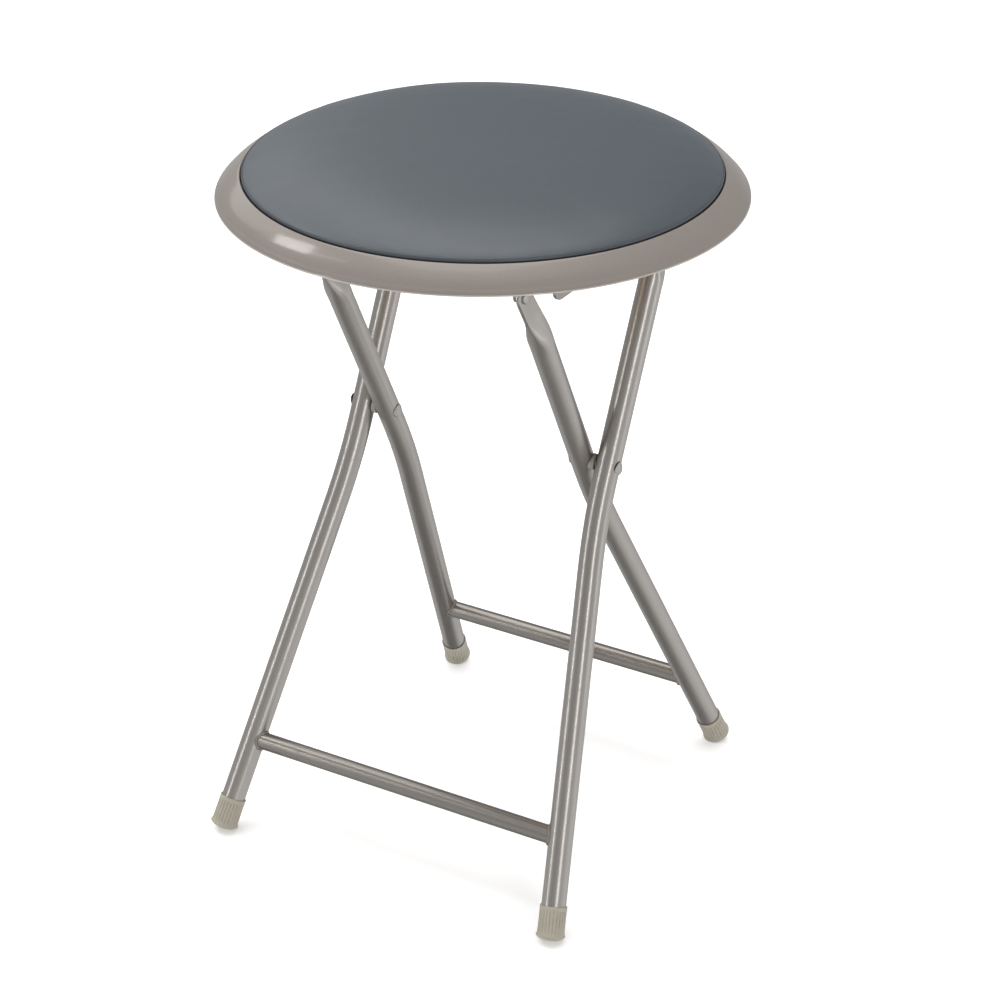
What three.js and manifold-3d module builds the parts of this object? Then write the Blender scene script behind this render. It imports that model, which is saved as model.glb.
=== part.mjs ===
// Folding stool with a round padded seat on two scissor frames of bent steel tube.
// Millimetres, +Z up. The origin is on the floor under the middle of the seat;
// X runs along the scissor pivot, -Y is the front (the feet of the outer frame).
import * as THREE from "three";
import { mergeVertices } from "three/addons/utils/BufferGeometryUtils.js";
import Module from "manifold-3d";

const wasm = await Module();
wasm.setup();

// ---------------------------------------------------------------- dimensions
const OVERALL_HEIGHT = 457.2;
const GAP = 0.3; // play between touching pieces

// seat
const RIM_RADIUS = 160.9;
const RIM_BOTTOM_Z = 427.6;
const SHOULDER_RADIUS = 145.2; // inner edge of the rim, at the seam
const SHOULDER_Z = 441.1;
const CUSHION_RADIUS = 143.8;
const SEAM_Z = 442.6; // height at which the cushion starts to roll in
const COVER_THICKNESS = 1.0;
const LEDGE_Z0 = 430.0;
const LEDGE_Z1 = 432.0;
const LEDGE_INNER_RADIUS = 128.0;
const TURN_IN_RADIUS = 123.0; // how far the cover is turned in under the board
const BOARD_Z0 = 433.6;
const BOARD_Z1 = 442.2;
const BOARD_RADIUS = 142.2;
const SEAT_SEGMENTS = 40;

// scissor frames
const PIVOT_Z = 264.6;
const TUBE_R = 7.65;
const TUBE_WALL = 1.2;
const TUBE_SIDES = 16;
const FLAT_THICKNESS = 3.0; // two walls pressed together
const CROSSBAR_R = 5.7;
const CROSSBAR_WALL = 1.0;
const BEND_RADIUS = 450;
const OUTER = {
  tilt: THREE.MathUtils.degToRad(-25.911), // top leans back
  xTop: 88.8,
  xFoot: 122.95,
  toFloor: 294.2, // pivot to floor, along the frame
  bendUp: 258.7, // floor to the middle of the bend, along the frame
  barUp: 64.3, // floor to the crossbar, along the frame
  roundTo: 119, // pivot to where the flattening starts
  flatFrom: 140,
  endAt: 168.3, // pivot to the axis of the support rod
  endOffset: 0,
  endRadius: 7.4,
  endHole: 3.3,
};
const INNER = {
  tilt: THREE.MathUtils.degToRad(27.615), // top leans forward
  xTop: 70.7,
  xFoot: 104.3,
  toFloor: 298.6,
  bendUp: 260.0,
  barUp: 67.0,
  roundTo: 114,
  flatFrom: 134,
  endAt: 154.6, // pivot to the hinge rivet
  endOffset: -2.0, // the rivet sits a little to the front of the tube's axis
  endRadius: 7.0,
  endHole: 2.5,
};

// foot tips, heights measured up the leg's axis from the floor
const TIP_R = 8.5;
const TIP_LIP_R = 9.2;
const TIP_BORE_R = 7.85;
const TIP_LIP_UP = 5.9;
const TIP_FLOOR_UP = 6.9;
const TIP_TOP_UP = 23.4;
const TUBE_END_UP = 7.3;

// scissor pivot
const PIVOT_RIVET_R = 3.0;
const PIVOT_HOLE_R = 3.3;
const PIVOT_HEAD_R = 4.8;
const PIVOT_HEAD = 1.3;
const BUSH_R = 5.2;

// hinge rivet and support rod
const HINGE_RIVET_R = 2.2;
const HINGE_HEAD_R = 4.0;
const HINGE_HEAD = 1.6;
const ROD_R = 4.0;
const ROD_TENON_R = 3.0;
const ROD_HEAD_R = 4.8;
const ROD_HEAD = 1.8;

// seat brackets (channel section, open side down)
const BRACKET_X0 = 66.9;
const BRACKET_X1 = 86.4;
const BRACKET_T = 2.0;
const BRACKET_TOP_Z = BOARD_Z0 - GAP;
const BRACKET_BOTTOM_Z = 396.2;
const BRACKET_FRONT_INNER = -79.0;
const BRACKET_FRONT_OUTER = -64.0;
const BRACKET_BACK = 85.1;
const BRACKET_CORNER_R = 8.0;
const SLOT_R = 4.4; // half the width of the hook slot
const SEAT_PER_FOLD = 2.3522; // seat degrees for each degree of the scissor

const BRACKET_SCREW_Y = [-50, -14, 22, 56];
const RIM_SCREW_RADIUS = 136;
const RIM_SCREW_ANGLES = [30, 150, 210, 330];
const SCREW_R = 1.9;

// ------------------------------------------------------------------- helpers
// A closed geometry as a solid, its faces turned outwards.
function solid(geometry) {
  const g = geometry.index ? geometry.toNonIndexed() : geometry.clone();
  for (const name of Object.keys(g.attributes)) if (name !== "position") g.deleteAttribute(name);
  const m = mergeVertices(g, 1e-4);
  const p = m.attributes.position.array;
  const kept = [];
  let volume = 0;
  for (let i = 0; i < m.index.count; i += 3) {
    const [a, b, c] = [0, 1, 2].map((k) => m.index.getX(i + k));
    if (a === b || b === c || c === a) continue;
    kept.push(a, b, c);
    const [va, vb, vc] = [a, b, c].map((k) => new THREE.Vector3().fromArray(p, 3 * k));
    volume += va.dot(vb.cross(vc));
  }
  if (volume < 0) for (let i = 0; i < kept.length; i += 3) [kept[i + 1], kept[i + 2]] = [kept[i + 2], kept[i + 1]];
  return new wasm.Manifold(
    new wasm.Mesh({ numProp: 3, vertProperties: Float32Array.from(p), triVerts: Uint32Array.from(kept) }),
  );
}

function geometryOf(body) {
  const mesh = body.getMesh();
  const g = new THREE.BufferGeometry();
  g.setAttribute("position", new THREE.BufferAttribute(Float32Array.from(mesh.vertProperties), 3));
  g.setIndex(new THREE.BufferAttribute(Uint32Array.from(mesh.triVerts), 1));
  g.computeVertexNormals();
  return g;
}

const cut = (geometry, ...tools) =>
  geometryOf(tools.reduce((body, tool) => body.subtract(solid(tool)), solid(geometry)));

// A closed profile of [radius, height] pairs turned about the Z axis.
const turned = (profile, segments) =>
  new THREE.LatheGeometry(
    profile.map(([r, z]) => new THREE.Vector2(r, z)),
    segments,
  ).rotateX(Math.PI / 2);

// The same about the X axis, with heights along +X.
const turnedX = (profile, segments) =>
  new THREE.LatheGeometry(
    profile.map(([r, x]) => new THREE.Vector2(r, x)),
    segments,
  ).rotateZ(-Math.PI / 2);

const drillX = (r, x0, x1, y, z, sides = 16) =>
  new THREE.CylinderGeometry(r, r, x1 - x0, sides).rotateZ(Math.PI / 2).translate((x0 + x1) / 2, y, z);

const drillZ = (r, z0, z1, x, y, sides = 12) =>
  new THREE.CylinderGeometry(r, r, z1 - z0, sides).rotateX(Math.PI / 2).translate(x, y, (z0 + z1) / 2);

// An outline in the YZ plane, extruded from x0 to x1.
function plateX(outline, x0, x1) {
  const shape = new THREE.Shape(outline.map(([y, z]) => new THREE.Vector2(y, z)));
  const g = new THREE.ExtrudeGeometry(shape, { depth: x1 - x0, bevelEnabled: false });
  g.applyMatrix4(
    new THREE.Matrix4().makeBasis(
      new THREE.Vector3(0, 1, 0),
      new THREE.Vector3(0, 0, 1),
      new THREE.Vector3(1, 0, 0),
    ),
  );
  return g.translate(x0, 0, 0);
}

const arc = (cx, cy, r, a0, a1, steps) =>
  Array.from({ length: steps + 1 }, (_, i) => {
    const a = THREE.MathUtils.degToRad(a0 + ((a1 - a0) * i) / steps);
    return [cx + r * Math.cos(a), cy + r * Math.sin(a)];
  });

const paint = {
  tube: { color: 0xa39d95, metalness: 0.75, roughness: 0.34 },
  bar: { color: 0x96918a, metalness: 0.75, roughness: 0.36 },
  rim: { color: 0x958d86, metalness: 0.15, roughness: 0.38 },
  vinyl: { color: 0x646a6f, metalness: 0, roughness: 0.45 },
  foam: { color: 0xe9dfb8, metalness: 0, roughness: 0.95 },
  wood: { color: 0xc29b66, metalness: 0, roughness: 0.7 },
  steel: { color: 0xb4b4b2, metalness: 0.9, roughness: 0.35 },
  tip: { color: 0xa8a094, metalness: 0, roughness: 0.6 },
  bush: { color: 0x8d8a84, metalness: 0, roughness: 0.5 },
};

function piece(name, geometry, look) {
  const mesh = new THREE.Mesh(geometryOf(solid(geometry)), new THREE.MeshStandardMaterial(paint[look]));
  mesh.name = name;
  return mesh;
}

const SIDES = [
  ["left", -1],
  ["right", 1],
];

// ---------------------------------------------------------------------- legs
// A leg lies in its frame's own axes: origin at the scissor pivot, +Z up the leg.
// The upper part is straight; below the pivot the tube bends outwards to the foot.
function legLine(f) {
  const corner = new THREE.Vector2(f.xTop, f.bendUp - f.toFloor);
  const foot = new THREE.Vector2(f.xFoot, -f.toFloor);
  const down = foot.clone().sub(corner).normalize();
  const angle = Math.atan2(down.x, -down.y);
  const tangent = BEND_RADIUS * Math.tan(angle / 2);
  return { corner, foot, down, angle, tangent };
}

class LegPath extends THREE.Curve {
  constructor(f, side) {
    super();
    const { corner, foot, down, angle, tangent } = legLine(f);
    this.stations = [];
    const add = (x, z, a) => {
      // a is how far the axis leans from the vertical of the frame
      const t = new THREE.Vector3(-side * Math.sin(a), 0, Math.cos(a));
      const b = new THREE.Vector3(0, 1, 0);
      this.stations.push({ p: new THREE.Vector3(side * x, 0, z), t, b, n: b.clone().cross(t) });
    };
    add(foot.x - down.x * TUBE_END_UP, foot.y - down.y * TUBE_END_UP, angle);
    const centre = new THREE.Vector2(corner.x + BEND_RADIUS, corner.y + tangent);
    for (let i = 0; i <= 5; i++) {
      const a = angle * (1 - i / 5);
      add(centre.x - BEND_RADIUS * Math.cos(a), centre.y - BEND_RADIUS * Math.sin(a), a);
    }
    for (let i = 0; i <= 3; i++) add(f.xTop, f.roundTo + ((f.flatFrom - f.roundTo) * i) / 3, 0);
    add(f.xTop, f.endAt + f.endRadius + 1, 0);
  }
  getSpacedPoints() {
    return this.stations.map((s) => s.p.clone());
  }
  computeFrenetFrames() {
    return {
      tangents: this.stations.map((s) => s.t.clone()),
      normals: this.stations.map((s) => s.n.clone()),
      binormals: this.stations.map((s) => s.b.clone()),
    };
  }
}

const ring = (r) =>
  Array.from({ length: TUBE_SIDES }, (_, i) => {
    const a = (2 * Math.PI * i) / TUBE_SIDES;
    return new THREE.Vector2(r * Math.cos(a), r * Math.sin(a));
  });

function legGeometry(f, side) {
  const path = new LegPath(f, side);
  const section = new THREE.Shape(ring(TUBE_R));
  section.holes.push(new THREE.Path(ring(TUBE_R - TUBE_WALL).reverse()));
  const tube = new THREE.ExtrudeGeometry(section, { steps: path.stations.length - 1, extrudePath: path });
  // Press the top flat: the walls stop at a half thickness that runs down to two walls.
  const pos = tube.attributes.position;
  for (let i = 0; i < pos.count; i++) {
    const z = pos.getZ(i);
    if (z < f.roundTo) continue;
    const along = Math.min(1, (z - f.roundTo) / (f.flatFrom - f.roundTo));
    const half = THREE.MathUtils.lerp(TUBE_R, FLAT_THICKNESS / 2, along);
    const dx = pos.getX(i) - side * f.xTop;
    const outer = Math.hypot(dx, pos.getY(i)) > TUBE_R - TUBE_WALL / 2;
    const most = outer ? half : half - TUBE_WALL;
    pos.setX(i, side * f.xTop + THREE.MathUtils.clamp(dx, -most, most));
  }
  // Round off the flat end about its rivet.
  const r = f.endRadius,
    y = f.endOffset,
    z = f.endAt;
  const outline = [
    [-60, -400],
    [60, -400],
    [60, f.flatFrom - 1],
    [TUBE_R + 0.1, f.flatFrom],
    ...arc(y, z, r, 0, 180, 12),
    [-TUBE_R - 0.1, f.flatFrom],
    [-60, f.flatFrom - 1],
  ];
  const kept = solid(tube).intersect(solid(plateX(outline, -200, 200)));
  const x0 = side * f.xTop - 20;
  return geometryOf(
    kept
      .subtract(solid(drillX(PIVOT_HOLE_R, x0, x0 + 40, 0, 0)))
      .subtract(solid(drillX(f.endHole, x0, x0 + 40, y, z))),
  );
}

// The space that a leg's lower part takes, a little larger all round.
function lowerLegSpace(f, side) {
  const { corner, foot } = legLine(f);
  const a = new THREE.Vector3(side * corner.x, 0, corner.y);
  const b = new THREE.Vector3(side * foot.x, 0, foot.y);
  const g = new THREE.CylinderGeometry(TUBE_R + GAP, TUBE_R + GAP, a.distanceTo(b), 32);
  g.applyQuaternion(new THREE.Quaternion().setFromUnitVectors(new THREE.Vector3(0, 1, 0), a.clone().sub(b).normalize()));
  const mid = a.add(b).multiplyScalar(0.5);
  return g.translate(mid.x, mid.y, mid.z);
}

function crossbarGeometry(f) {
  const { corner, foot } = legLine(f);
  const x = foot.x + ((corner.x - foot.x) * f.barUp) / f.bendUp;
  const r1 = CROSSBAR_R,
    r0 = CROSSBAR_R - CROSSBAR_WALL;
  const tube = turnedX(
    [
      [r0, -x],
      [r1, -x],
      [r1, x],
      [r0, x],
      [r0, -x],
    ],
    20,
  ).translate(0, 0, f.barUp - f.toFloor);
  // Each end is coped to the leg and what is left beyond it falls away.
  let body = solid(tube);
  for (const [, side] of SIDES) {
    body = body.subtract(solid(lowerLegSpace(f, side)));
  }
  const parts = body.decompose().sort((p, q) => q.volume() - p.volume());
  return geometryOf(parts[0]);
}

// A push-on tip on the leg's foot, its domed sole cut level by the floor.
function tipGeometry(f, side, frame) {
  const { corner, foot } = legLine(f);
  const up = new THREE.Vector3(side * (corner.x - foot.x), 0, corner.y - foot.y).normalize();
  const g = turned(
    [
      [0, 1.3],
      [3.8, 1.7],
      [7.2, 2.9],
      [8.7, 4.5],
      [TIP_LIP_R, TIP_LIP_UP],
      [TIP_R, TIP_LIP_UP + 2.6],
      [TIP_R, TIP_TOP_UP],
      [TIP_BORE_R, TIP_TOP_UP],
      [TIP_BORE_R, TIP_FLOOR_UP],
      [0, TIP_FLOOR_UP],
    ],
    TUBE_SIDES,
  );
  g.applyQuaternion(new THREE.Quaternion().setFromUnitVectors(new THREE.Vector3(0, 0, 1), up));
  g.translate(side * foot.x, 0, foot.y);
  g.applyMatrix4(frame.matrixWorld);
  const below = new THREE.BoxGeometry(400, 400, 20).translate(0, 0, -10);
  return cut(g, below).applyMatrix4(frame.matrixWorld.clone().invert());
}

function makeFrame(f) {
  const frame = new THREE.Group();
  frame.position.z = PIVOT_Z;
  frame.rotation.x = f.tilt;
  frame.updateMatrixWorld(true);
  return frame;
}

const stool = new THREE.Group();

// --------------------------------------------------------------- outer frame
const outerFrame = makeFrame(OUTER);
stool.add(outerFrame);
for (const [word, side] of SIDES) {
  outerFrame.add(piece(`outer_leg_${word}`, legGeometry(OUTER, side), "tube"));
  outerFrame.add(piece(`outer_foot_${word}`, tipGeometry(OUTER, side, outerFrame), "tip"));
}
outerFrame.add(piece("outer_crossbar", crossbarGeometry(OUTER), "bar"));
{
  const inside = OUTER.xTop - FLAT_THICKNESS / 2 - GAP;
  const outside = OUTER.xTop + FLAT_THICKNESS / 2 + GAP;
  const half = [
    [ROD_R, inside],
    [ROD_TENON_R, inside],
    [ROD_TENON_R, outside],
    [ROD_HEAD_R, outside],
    [ROD_HEAD_R, outside + 0.5],
    [ROD_HEAD_R - 1.8, outside + 1.5],
    [0, outside + ROD_HEAD],
  ];
  const mirrored = half.map(([r, x]) => [r, -x]).reverse();
  const rod = piece("seat_support_rod", turnedX([...mirrored, ...half], 12), "tube");
  rod.position.z = OUTER.endAt;
  outerFrame.add(rod);
}

// --------------------------------------------------------------- inner frame
const innerFrame = makeFrame(INNER);
stool.add(innerFrame);
for (const [word, side] of SIDES) {
  innerFrame.add(piece(`inner_leg_${word}`, legGeometry(INNER, side), "tube"));
  innerFrame.add(piece(`inner_foot_${word}`, tipGeometry(INNER, side, innerFrame), "tip"));

  // The scissor rivet: a head outside the outer tube, a head inside the inner tube.
  const out = OUTER.xTop + TUBE_R + GAP;
  const inn = INNER.xTop - TUBE_R - GAP;
  const rivet = turnedX(
    [
      [0, inn - PIVOT_HEAD],
      [3.2, inn - PIVOT_HEAD + 0.5],
      [PIVOT_HEAD_R, inn - 0.6],
      [PIVOT_HEAD_R, inn],
      [PIVOT_RIVET_R, inn],
      [PIVOT_RIVET_R, out],
      [PIVOT_HEAD_R, out],
      [PIVOT_HEAD_R, out + 0.6],
      [3.2, out + PIVOT_HEAD - 0.5],
      [0, out + PIVOT_HEAD],
    ],
    12,
  );
  if (side < 0) rivet.rotateY(Math.PI);
  innerFrame.add(piece(`pivot_rivet_${word}`, rivet, "tube"));

  // The bush between the tubes: hollowed to the inner tube, flat towards the outer one.
  const flat = OUTER.xTop - TUBE_R - GAP;
  const bush = turnedX(
    [
      [PIVOT_HOLE_R, INNER.xTop + 5],
      [BUSH_R, INNER.xTop + 5],
      [BUSH_R, flat - 0.6],
      [BUSH_R - 0.5, flat],
      [PIVOT_HOLE_R, flat],
      [PIVOT_HOLE_R, INNER.xTop + 5],
    ],
    16,
  );
  const tubeSpace = new THREE.CylinderGeometry(TUBE_R + GAP, TUBE_R + GAP, 60, 32)
    .rotateX(Math.PI / 2)
    .translate(INNER.xTop, 0, 0);
  const coped = cut(bush, tubeSpace);
  if (side < 0) coped.rotateY(Math.PI);
  innerFrame.add(piece(`pivot_bush_${word}`, coped, "bush"));

  // The hinge rivet through the bracket's inner wall and the flat leg top.
  const h1 = INNER.xTop + FLAT_THICKNESS / 2 + GAP;
  const h0 = BRACKET_X0 - GAP;
  const hinge = turnedX(
    [
      [0, h0 - HINGE_HEAD],
      [2.4, h0 - HINGE_HEAD + 0.3],
      [HINGE_HEAD_R, h0 - 0.4],
      [HINGE_HEAD_R, h0],
      [HINGE_RIVET_R, h0],
      [HINGE_RIVET_R, h1],
      [HINGE_HEAD_R, h1],
      [HINGE_HEAD_R, h1 + 0.4],
      [2.4, h1 + HINGE_HEAD - 0.3],
      [0, h1 + HINGE_HEAD],
    ],
    12,
  );
  if (side < 0) hinge.rotateY(Math.PI);
  const hingeRivet = piece(`hinge_rivet_${word}`, hinge, "tube");
  hingeRivet.position.set(0, INNER.endOffset, INNER.endAt);
  innerFrame.add(hingeRivet);
}
innerFrame.add(piece("inner_crossbar", crossbarGeometry(INNER), "bar"));

// ---------------------------------------------------------------------- seat
const seat = new THREE.Group();
stool.add(seat);

const hingePoint = new THREE.Vector3(0, INNER.endOffset, INNER.endAt).applyMatrix4(innerFrame.matrixWorld);
const rodPoint = new THREE.Vector3(0, 0, OUTER.endAt).applyMatrix4(outerFrame.matrixWorld);

const turnYZ = ([y, z], a) => [y * Math.cos(a) - z * Math.sin(a), y * Math.sin(a) + z * Math.cos(a)];

// Where the support rod stands in the seat's own axes when the scissor has closed by an angle.
function rodInSeat(degrees) {
  const a = THREE.MathUtils.degToRad(degrees);
  const r = turnYZ([rodPoint.y, rodPoint.z - PIVOT_Z], a);
  const q = turnYZ([r[0] - hingePoint.y, r[1] + PIVOT_Z - hingePoint.z], -SEAT_PER_FOLD * a);
  return [q[0] + hingePoint.y, q[1] + hingePoint.z];
}

// The hook slot follows the rod's path out of the bracket and widens at its mouth.
function slotOutline() {
  const left = [],
    right = [];
  for (let i = 0; i <= 7; i++) {
    const [y, z] = rodInSeat(i);
    const [y2, z2] = rodInSeat(i + 0.2);
    const d = Math.hypot(y2 - y, z2 - z);
    const wide = SLOT_R + Math.max(0, i - 3) * 0.35;
    const n = [-(z2 - z) / d, (y2 - y) / d];
    left.push([y + n[0] * wide, z + n[1] * wide]);
    right.push([y - n[0] * wide, z - n[1] * wide]);
  }
  const [y, z] = rodInSeat(0);
  const [y2, z2] = rodInSeat(0.2);
  const back = THREE.MathUtils.radToDeg(Math.atan2(z - z2, y - y2));
  return [...left.reverse(), ...arc(y, z, SLOT_R, back - 90, back + 90, 8).slice(1, -1), ...right];
}

function bracketGeometry(side) {
  const b = BRACKET_BOTTOM_Z,
    t = BRACKET_TOP_Z,
    r = BRACKET_CORNER_R,
    back = BRACKET_BACK;
  const wall = (front) => [
    [front, t],
    ...arc(front + r, b + r, r, 180, 270, 5),
    ...arc(back - r, b + r, r, 270, 360, 5),
    [back, t],
  ];
  const inner = plateX(wall(BRACKET_FRONT_INNER), BRACKET_X0, BRACKET_X0 + BRACKET_T);
  const outer = plateX(wall(BRACKET_FRONT_OUTER), BRACKET_X1 - BRACKET_T, BRACKET_X1);
  const top = new THREE.Shape(
    [
      [BRACKET_X0, BRACKET_FRONT_INNER],
      [BRACKET_X0 + 6, BRACKET_FRONT_INNER],
      [BRACKET_X1, BRACKET_FRONT_OUTER],
      [BRACKET_X1, back - 4],
      [BRACKET_X1 - 4, back],
      [BRACKET_X0, back],
    ].map(([x, y]) => new THREE.Vector2(x, y)),
  );
  const web = new THREE.ExtrudeGeometry(top, { depth: BRACKET_T, bevelEnabled: false }).translate(0, 0, t - BRACKET_T);
  // The bends of the sheet round off the two upper edges.
  const bend = 2.6;
  const end = new THREE.Shape(
    [
      [BRACKET_X0, b - 5],
      [BRACKET_X1, b - 5],
      ...arc(BRACKET_X1 - bend, t - bend, bend, 0, 90, 4),
      ...arc(BRACKET_X0 + bend, t - bend, bend, 90, 180, 4),
    ].map(([x, z]) => new THREE.Vector2(x, z)),
  );
  const mould = new THREE.ExtrudeGeometry(end, { depth: 400, bevelEnabled: false }).rotateX(Math.PI / 2).translate(0, 200, 0);
  let body = solid(web).add(solid(inner)).add(solid(outer)).intersect(solid(mould));
  body = body.subtract(solid(plateX(slotOutline(), BRACKET_X0 - 5, BRACKET_X1 + 5)));
  body = body.subtract(
    solid(drillX(HINGE_RIVET_R + GAP, BRACKET_X0 - 5, BRACKET_X0 + BRACKET_T + 2, hingePoint.y, hingePoint.z)),
  );
  for (const y of BRACKET_SCREW_Y)
    body = body.subtract(solid(drillZ(SCREW_R + GAP, t - 5, t + 5, (BRACKET_X0 + BRACKET_X1) / 2, y)));
  const g = geometryOf(body);
  return side < 0 ? geometryOf(solid(g.clone().scale(-1, 1, 1))) : g;
}

const screwProfile = (head, radius, tip) => [
  [0, -head],
  [radius - 0.8, -head],
  [radius, 0],
  [SCREW_R, 0],
  [SCREW_R, tip - 1.5],
  [0, tip],
];

for (const [word, side] of SIDES) {
  seat.add(piece(`seat_bracket_${word}`, bracketGeometry(side), "bar"));
  BRACKET_SCREW_Y.forEach((y, i) => {
    const top = BRACKET_TOP_Z - BRACKET_T - GAP;
    const screw = piece(`bracket_screw_${word}_${i + 1}`, turned(screwProfile(2.0, 4.1, BOARD_Z1 - 1.8 - top), 10), "steel");
    screw.position.set((side * (BRACKET_X0 + BRACKET_X1)) / 2, y, top);
    seat.add(screw);
  });
}

const rimScrewSpots = RIM_SCREW_ANGLES.map((a) => {
  const t = THREE.MathUtils.degToRad(a);
  return [RIM_SCREW_RADIUS * Math.cos(t), RIM_SCREW_RADIUS * Math.sin(t)];
});
rimScrewSpots.forEach(([x, y], i) => {
  const screw = piece(`rim_screw_${i + 1}`, turned(screwProfile(1.6, 3.8, BOARD_Z1 - 1.8 - (LEDGE_Z0 - GAP)), 10), "steel");
  screw.position.set(x, y, LEDGE_Z0 - GAP);
  seat.add(screw);
});
const rimHoles = () => rimScrewSpots.map(([x, y]) => drillZ(SCREW_R + GAP, LEDGE_Z0 - 5, BOARD_Z1 - 1.4, x, y));
const bracketHoles = () =>
  SIDES.flatMap(([, side]) =>
    BRACKET_SCREW_Y.map((y) =>
      drillZ(SCREW_R + GAP, BOARD_Z0 - 5, BOARD_Z1 - 1.4, (side * (BRACKET_X0 + BRACKET_X1)) / 2, y),
    ),
  );

// Rim: a shell with a sloped outer face that steepens towards its lower edge, and a ledge under the board.
const rimProfile = [
  [LEDGE_INNER_RADIUS, LEDGE_Z0],
  [SHOULDER_RADIUS + 2.2, LEDGE_Z0],
  [SHOULDER_RADIUS + 2.2, 437.6],
  [150.6, 435.8],
  [154.6, 432.2],
  [157.6, 428.6],
  [158.6, RIM_BOTTOM_Z],
  [160.8, RIM_BOTTOM_Z],
  [RIM_RADIUS, 427.8],
  [RIM_RADIUS, 428.4],
  [159.9, 429.35],
  [156.2, 433.45],
  [152.4, 436.85],
  [149.0, 439.3],
  [146.3, SHOULDER_Z],
  [145.5, SHOULDER_Z],
  [SHOULDER_RADIUS, 440.7],
  [SHOULDER_RADIUS, LEDGE_Z1],
  [LEDGE_INNER_RADIUS, LEDGE_Z1],
  [LEDGE_INNER_RADIUS, LEDGE_Z0],
];
seat.add(piece("seat_rim", cut(turned(rimProfile, SEAT_SEGMENTS), ...rimHoles()), "rim"));

// Board.
const board = new THREE.CylinderGeometry(BOARD_RADIUS, BOARD_RADIUS, BOARD_Z1 - BOARD_Z0, SEAT_SEGMENTS)
  .rotateX(Math.PI / 2)
  .translate(0, 0, (BOARD_Z0 + BOARD_Z1) / 2);
seat.add(piece("seat_board", cut(board, ...rimHoles(), ...bracketHoles()), "wood"));

// Crown of the cushion, from its rolled edge to the middle.
const crown = [
  [CUSHION_RADIUS, SEAM_Z],
  [143.0, 443.3],
  [141.6, 444.3],
  [138.0, 446.2],
  [131.0, 449.05],
  [116.0, 452.9],
  [86.0, 456.2],
  [0, OVERALL_HEIGHT],
];
const inset = (d) =>
  crown.map(([r, z], i) => {
    const a = crown[Math.max(0, i - 1)],
      b = crown[Math.min(crown.length - 1, i + 1)];
    const t = new THREE.Vector2(b[0] - a[0], b[1] - a[1]).normalize();
    if (i === 0) return [r - d, z - 0.4];
    if (i === crown.length - 1) return [0, z - d];
    return [r - d * t.y, z + d * t.x];
  });
const c = COVER_THICKNESS;
const coverProfile = [
  ...inset(c).reverse(),
  [CUSHION_RADIUS - c, BOARD_Z0 + 0.6],
  [CUSHION_RADIUS - c - 0.6, BOARD_Z0 - GAP],
  [TURN_IN_RADIUS, BOARD_Z0 - GAP],
  [TURN_IN_RADIUS, BOARD_Z0 - GAP - c],
  [CUSHION_RADIUS - 1.2, BOARD_Z0 - GAP - c],
  [CUSHION_RADIUS, BOARD_Z0 + 0.2],
  ...crown,
];
seat.add(piece("cushion_cover", cut(turned(coverProfile, SEAT_SEGMENTS), ...rimHoles()), "vinyl"));

const foamTop = inset(c + GAP);
const foamProfile = [
  [0, BOARD_Z1 + GAP],
  [140.6, BOARD_Z1 + GAP],
  ...foamTop.filter(([, z]) => z > BOARD_Z1 + 0.6),
];
seat.add(piece("cushion_foam", turned(foamProfile, SEAT_SEGMENTS), "foam"));

export default stool;
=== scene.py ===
"""Looks of a folding stool with a round padded seat: fine meshes, finishes, light and camera.

All lengths below are millimetres in the part's own frame; meshes are stored in metres.
"""
import math

import bmesh
import bpy
import numpy as np
from mathutils import Matrix, Vector
from mathutils.bvhtree import BVHTree


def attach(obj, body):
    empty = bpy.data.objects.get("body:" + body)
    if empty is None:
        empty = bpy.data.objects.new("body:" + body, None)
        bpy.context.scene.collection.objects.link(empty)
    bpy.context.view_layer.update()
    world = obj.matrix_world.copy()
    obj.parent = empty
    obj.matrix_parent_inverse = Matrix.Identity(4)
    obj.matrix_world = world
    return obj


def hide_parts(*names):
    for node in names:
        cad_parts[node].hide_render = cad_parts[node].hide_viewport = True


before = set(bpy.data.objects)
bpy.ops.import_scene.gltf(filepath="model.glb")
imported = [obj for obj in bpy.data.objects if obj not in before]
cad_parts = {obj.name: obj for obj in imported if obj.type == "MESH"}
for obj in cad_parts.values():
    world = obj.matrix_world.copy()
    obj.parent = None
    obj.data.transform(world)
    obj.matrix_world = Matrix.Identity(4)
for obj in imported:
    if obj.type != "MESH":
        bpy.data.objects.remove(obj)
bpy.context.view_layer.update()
MM = 0.001
rng = np.random.default_rng(7)

# ---------------------------------------------------------------- dimensions
CUSHION_R, SEAM_Z, CROWN = 143.8, 442.6, 14.6
COVER_T = 1.0
BOARD_Z0, BOARD_Z1, BOARD_R = 433.6, 442.2, 142.2
TURN_IN_R = 123.0
RIM_R, RIM_Z0 = 160.9, 427.6
SHOULDER_R, SHOULDER_Z = 145.2, 441.1
LEDGE_Z0, LEDGE_Z1, LEDGE_R = 430.0, 432.0, 128.0

PIVOT_Z = 264.6
TUBE_R, WALL = 7.65, 1.2
FLAT = 3.0
BAR_R = 5.7
BEND_R = 450.0
OUTER = dict(tilt=math.radians(-25.911), x_top=88.8, x_foot=122.95, to_floor=294.2, bend_up=258.7, bar_up=64.3,
             round_to=119.0, flat_from=140.0, end_at=168.3, end_off=0.0, end_r=7.4)
INNER = dict(tilt=math.radians(27.615), x_top=70.7, x_foot=104.3, to_floor=298.6, bend_up=260.0, bar_up=67.0,
             round_to=114.0, flat_from=134.0, end_at=154.6, end_off=-2.0, end_r=7.0)
TIP_R, TIP_BORE_R, TIP_LIP_R = 8.5, 7.85, 9.2
TIP_LIP_UP, TIP_FLOOR_UP, TIP_TOP_UP, TUBE_END_UP = 5.9, 6.9, 23.4, 7.3
GAP = 0.3
SIDES = (("left", -1), ("right", 1))


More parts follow.
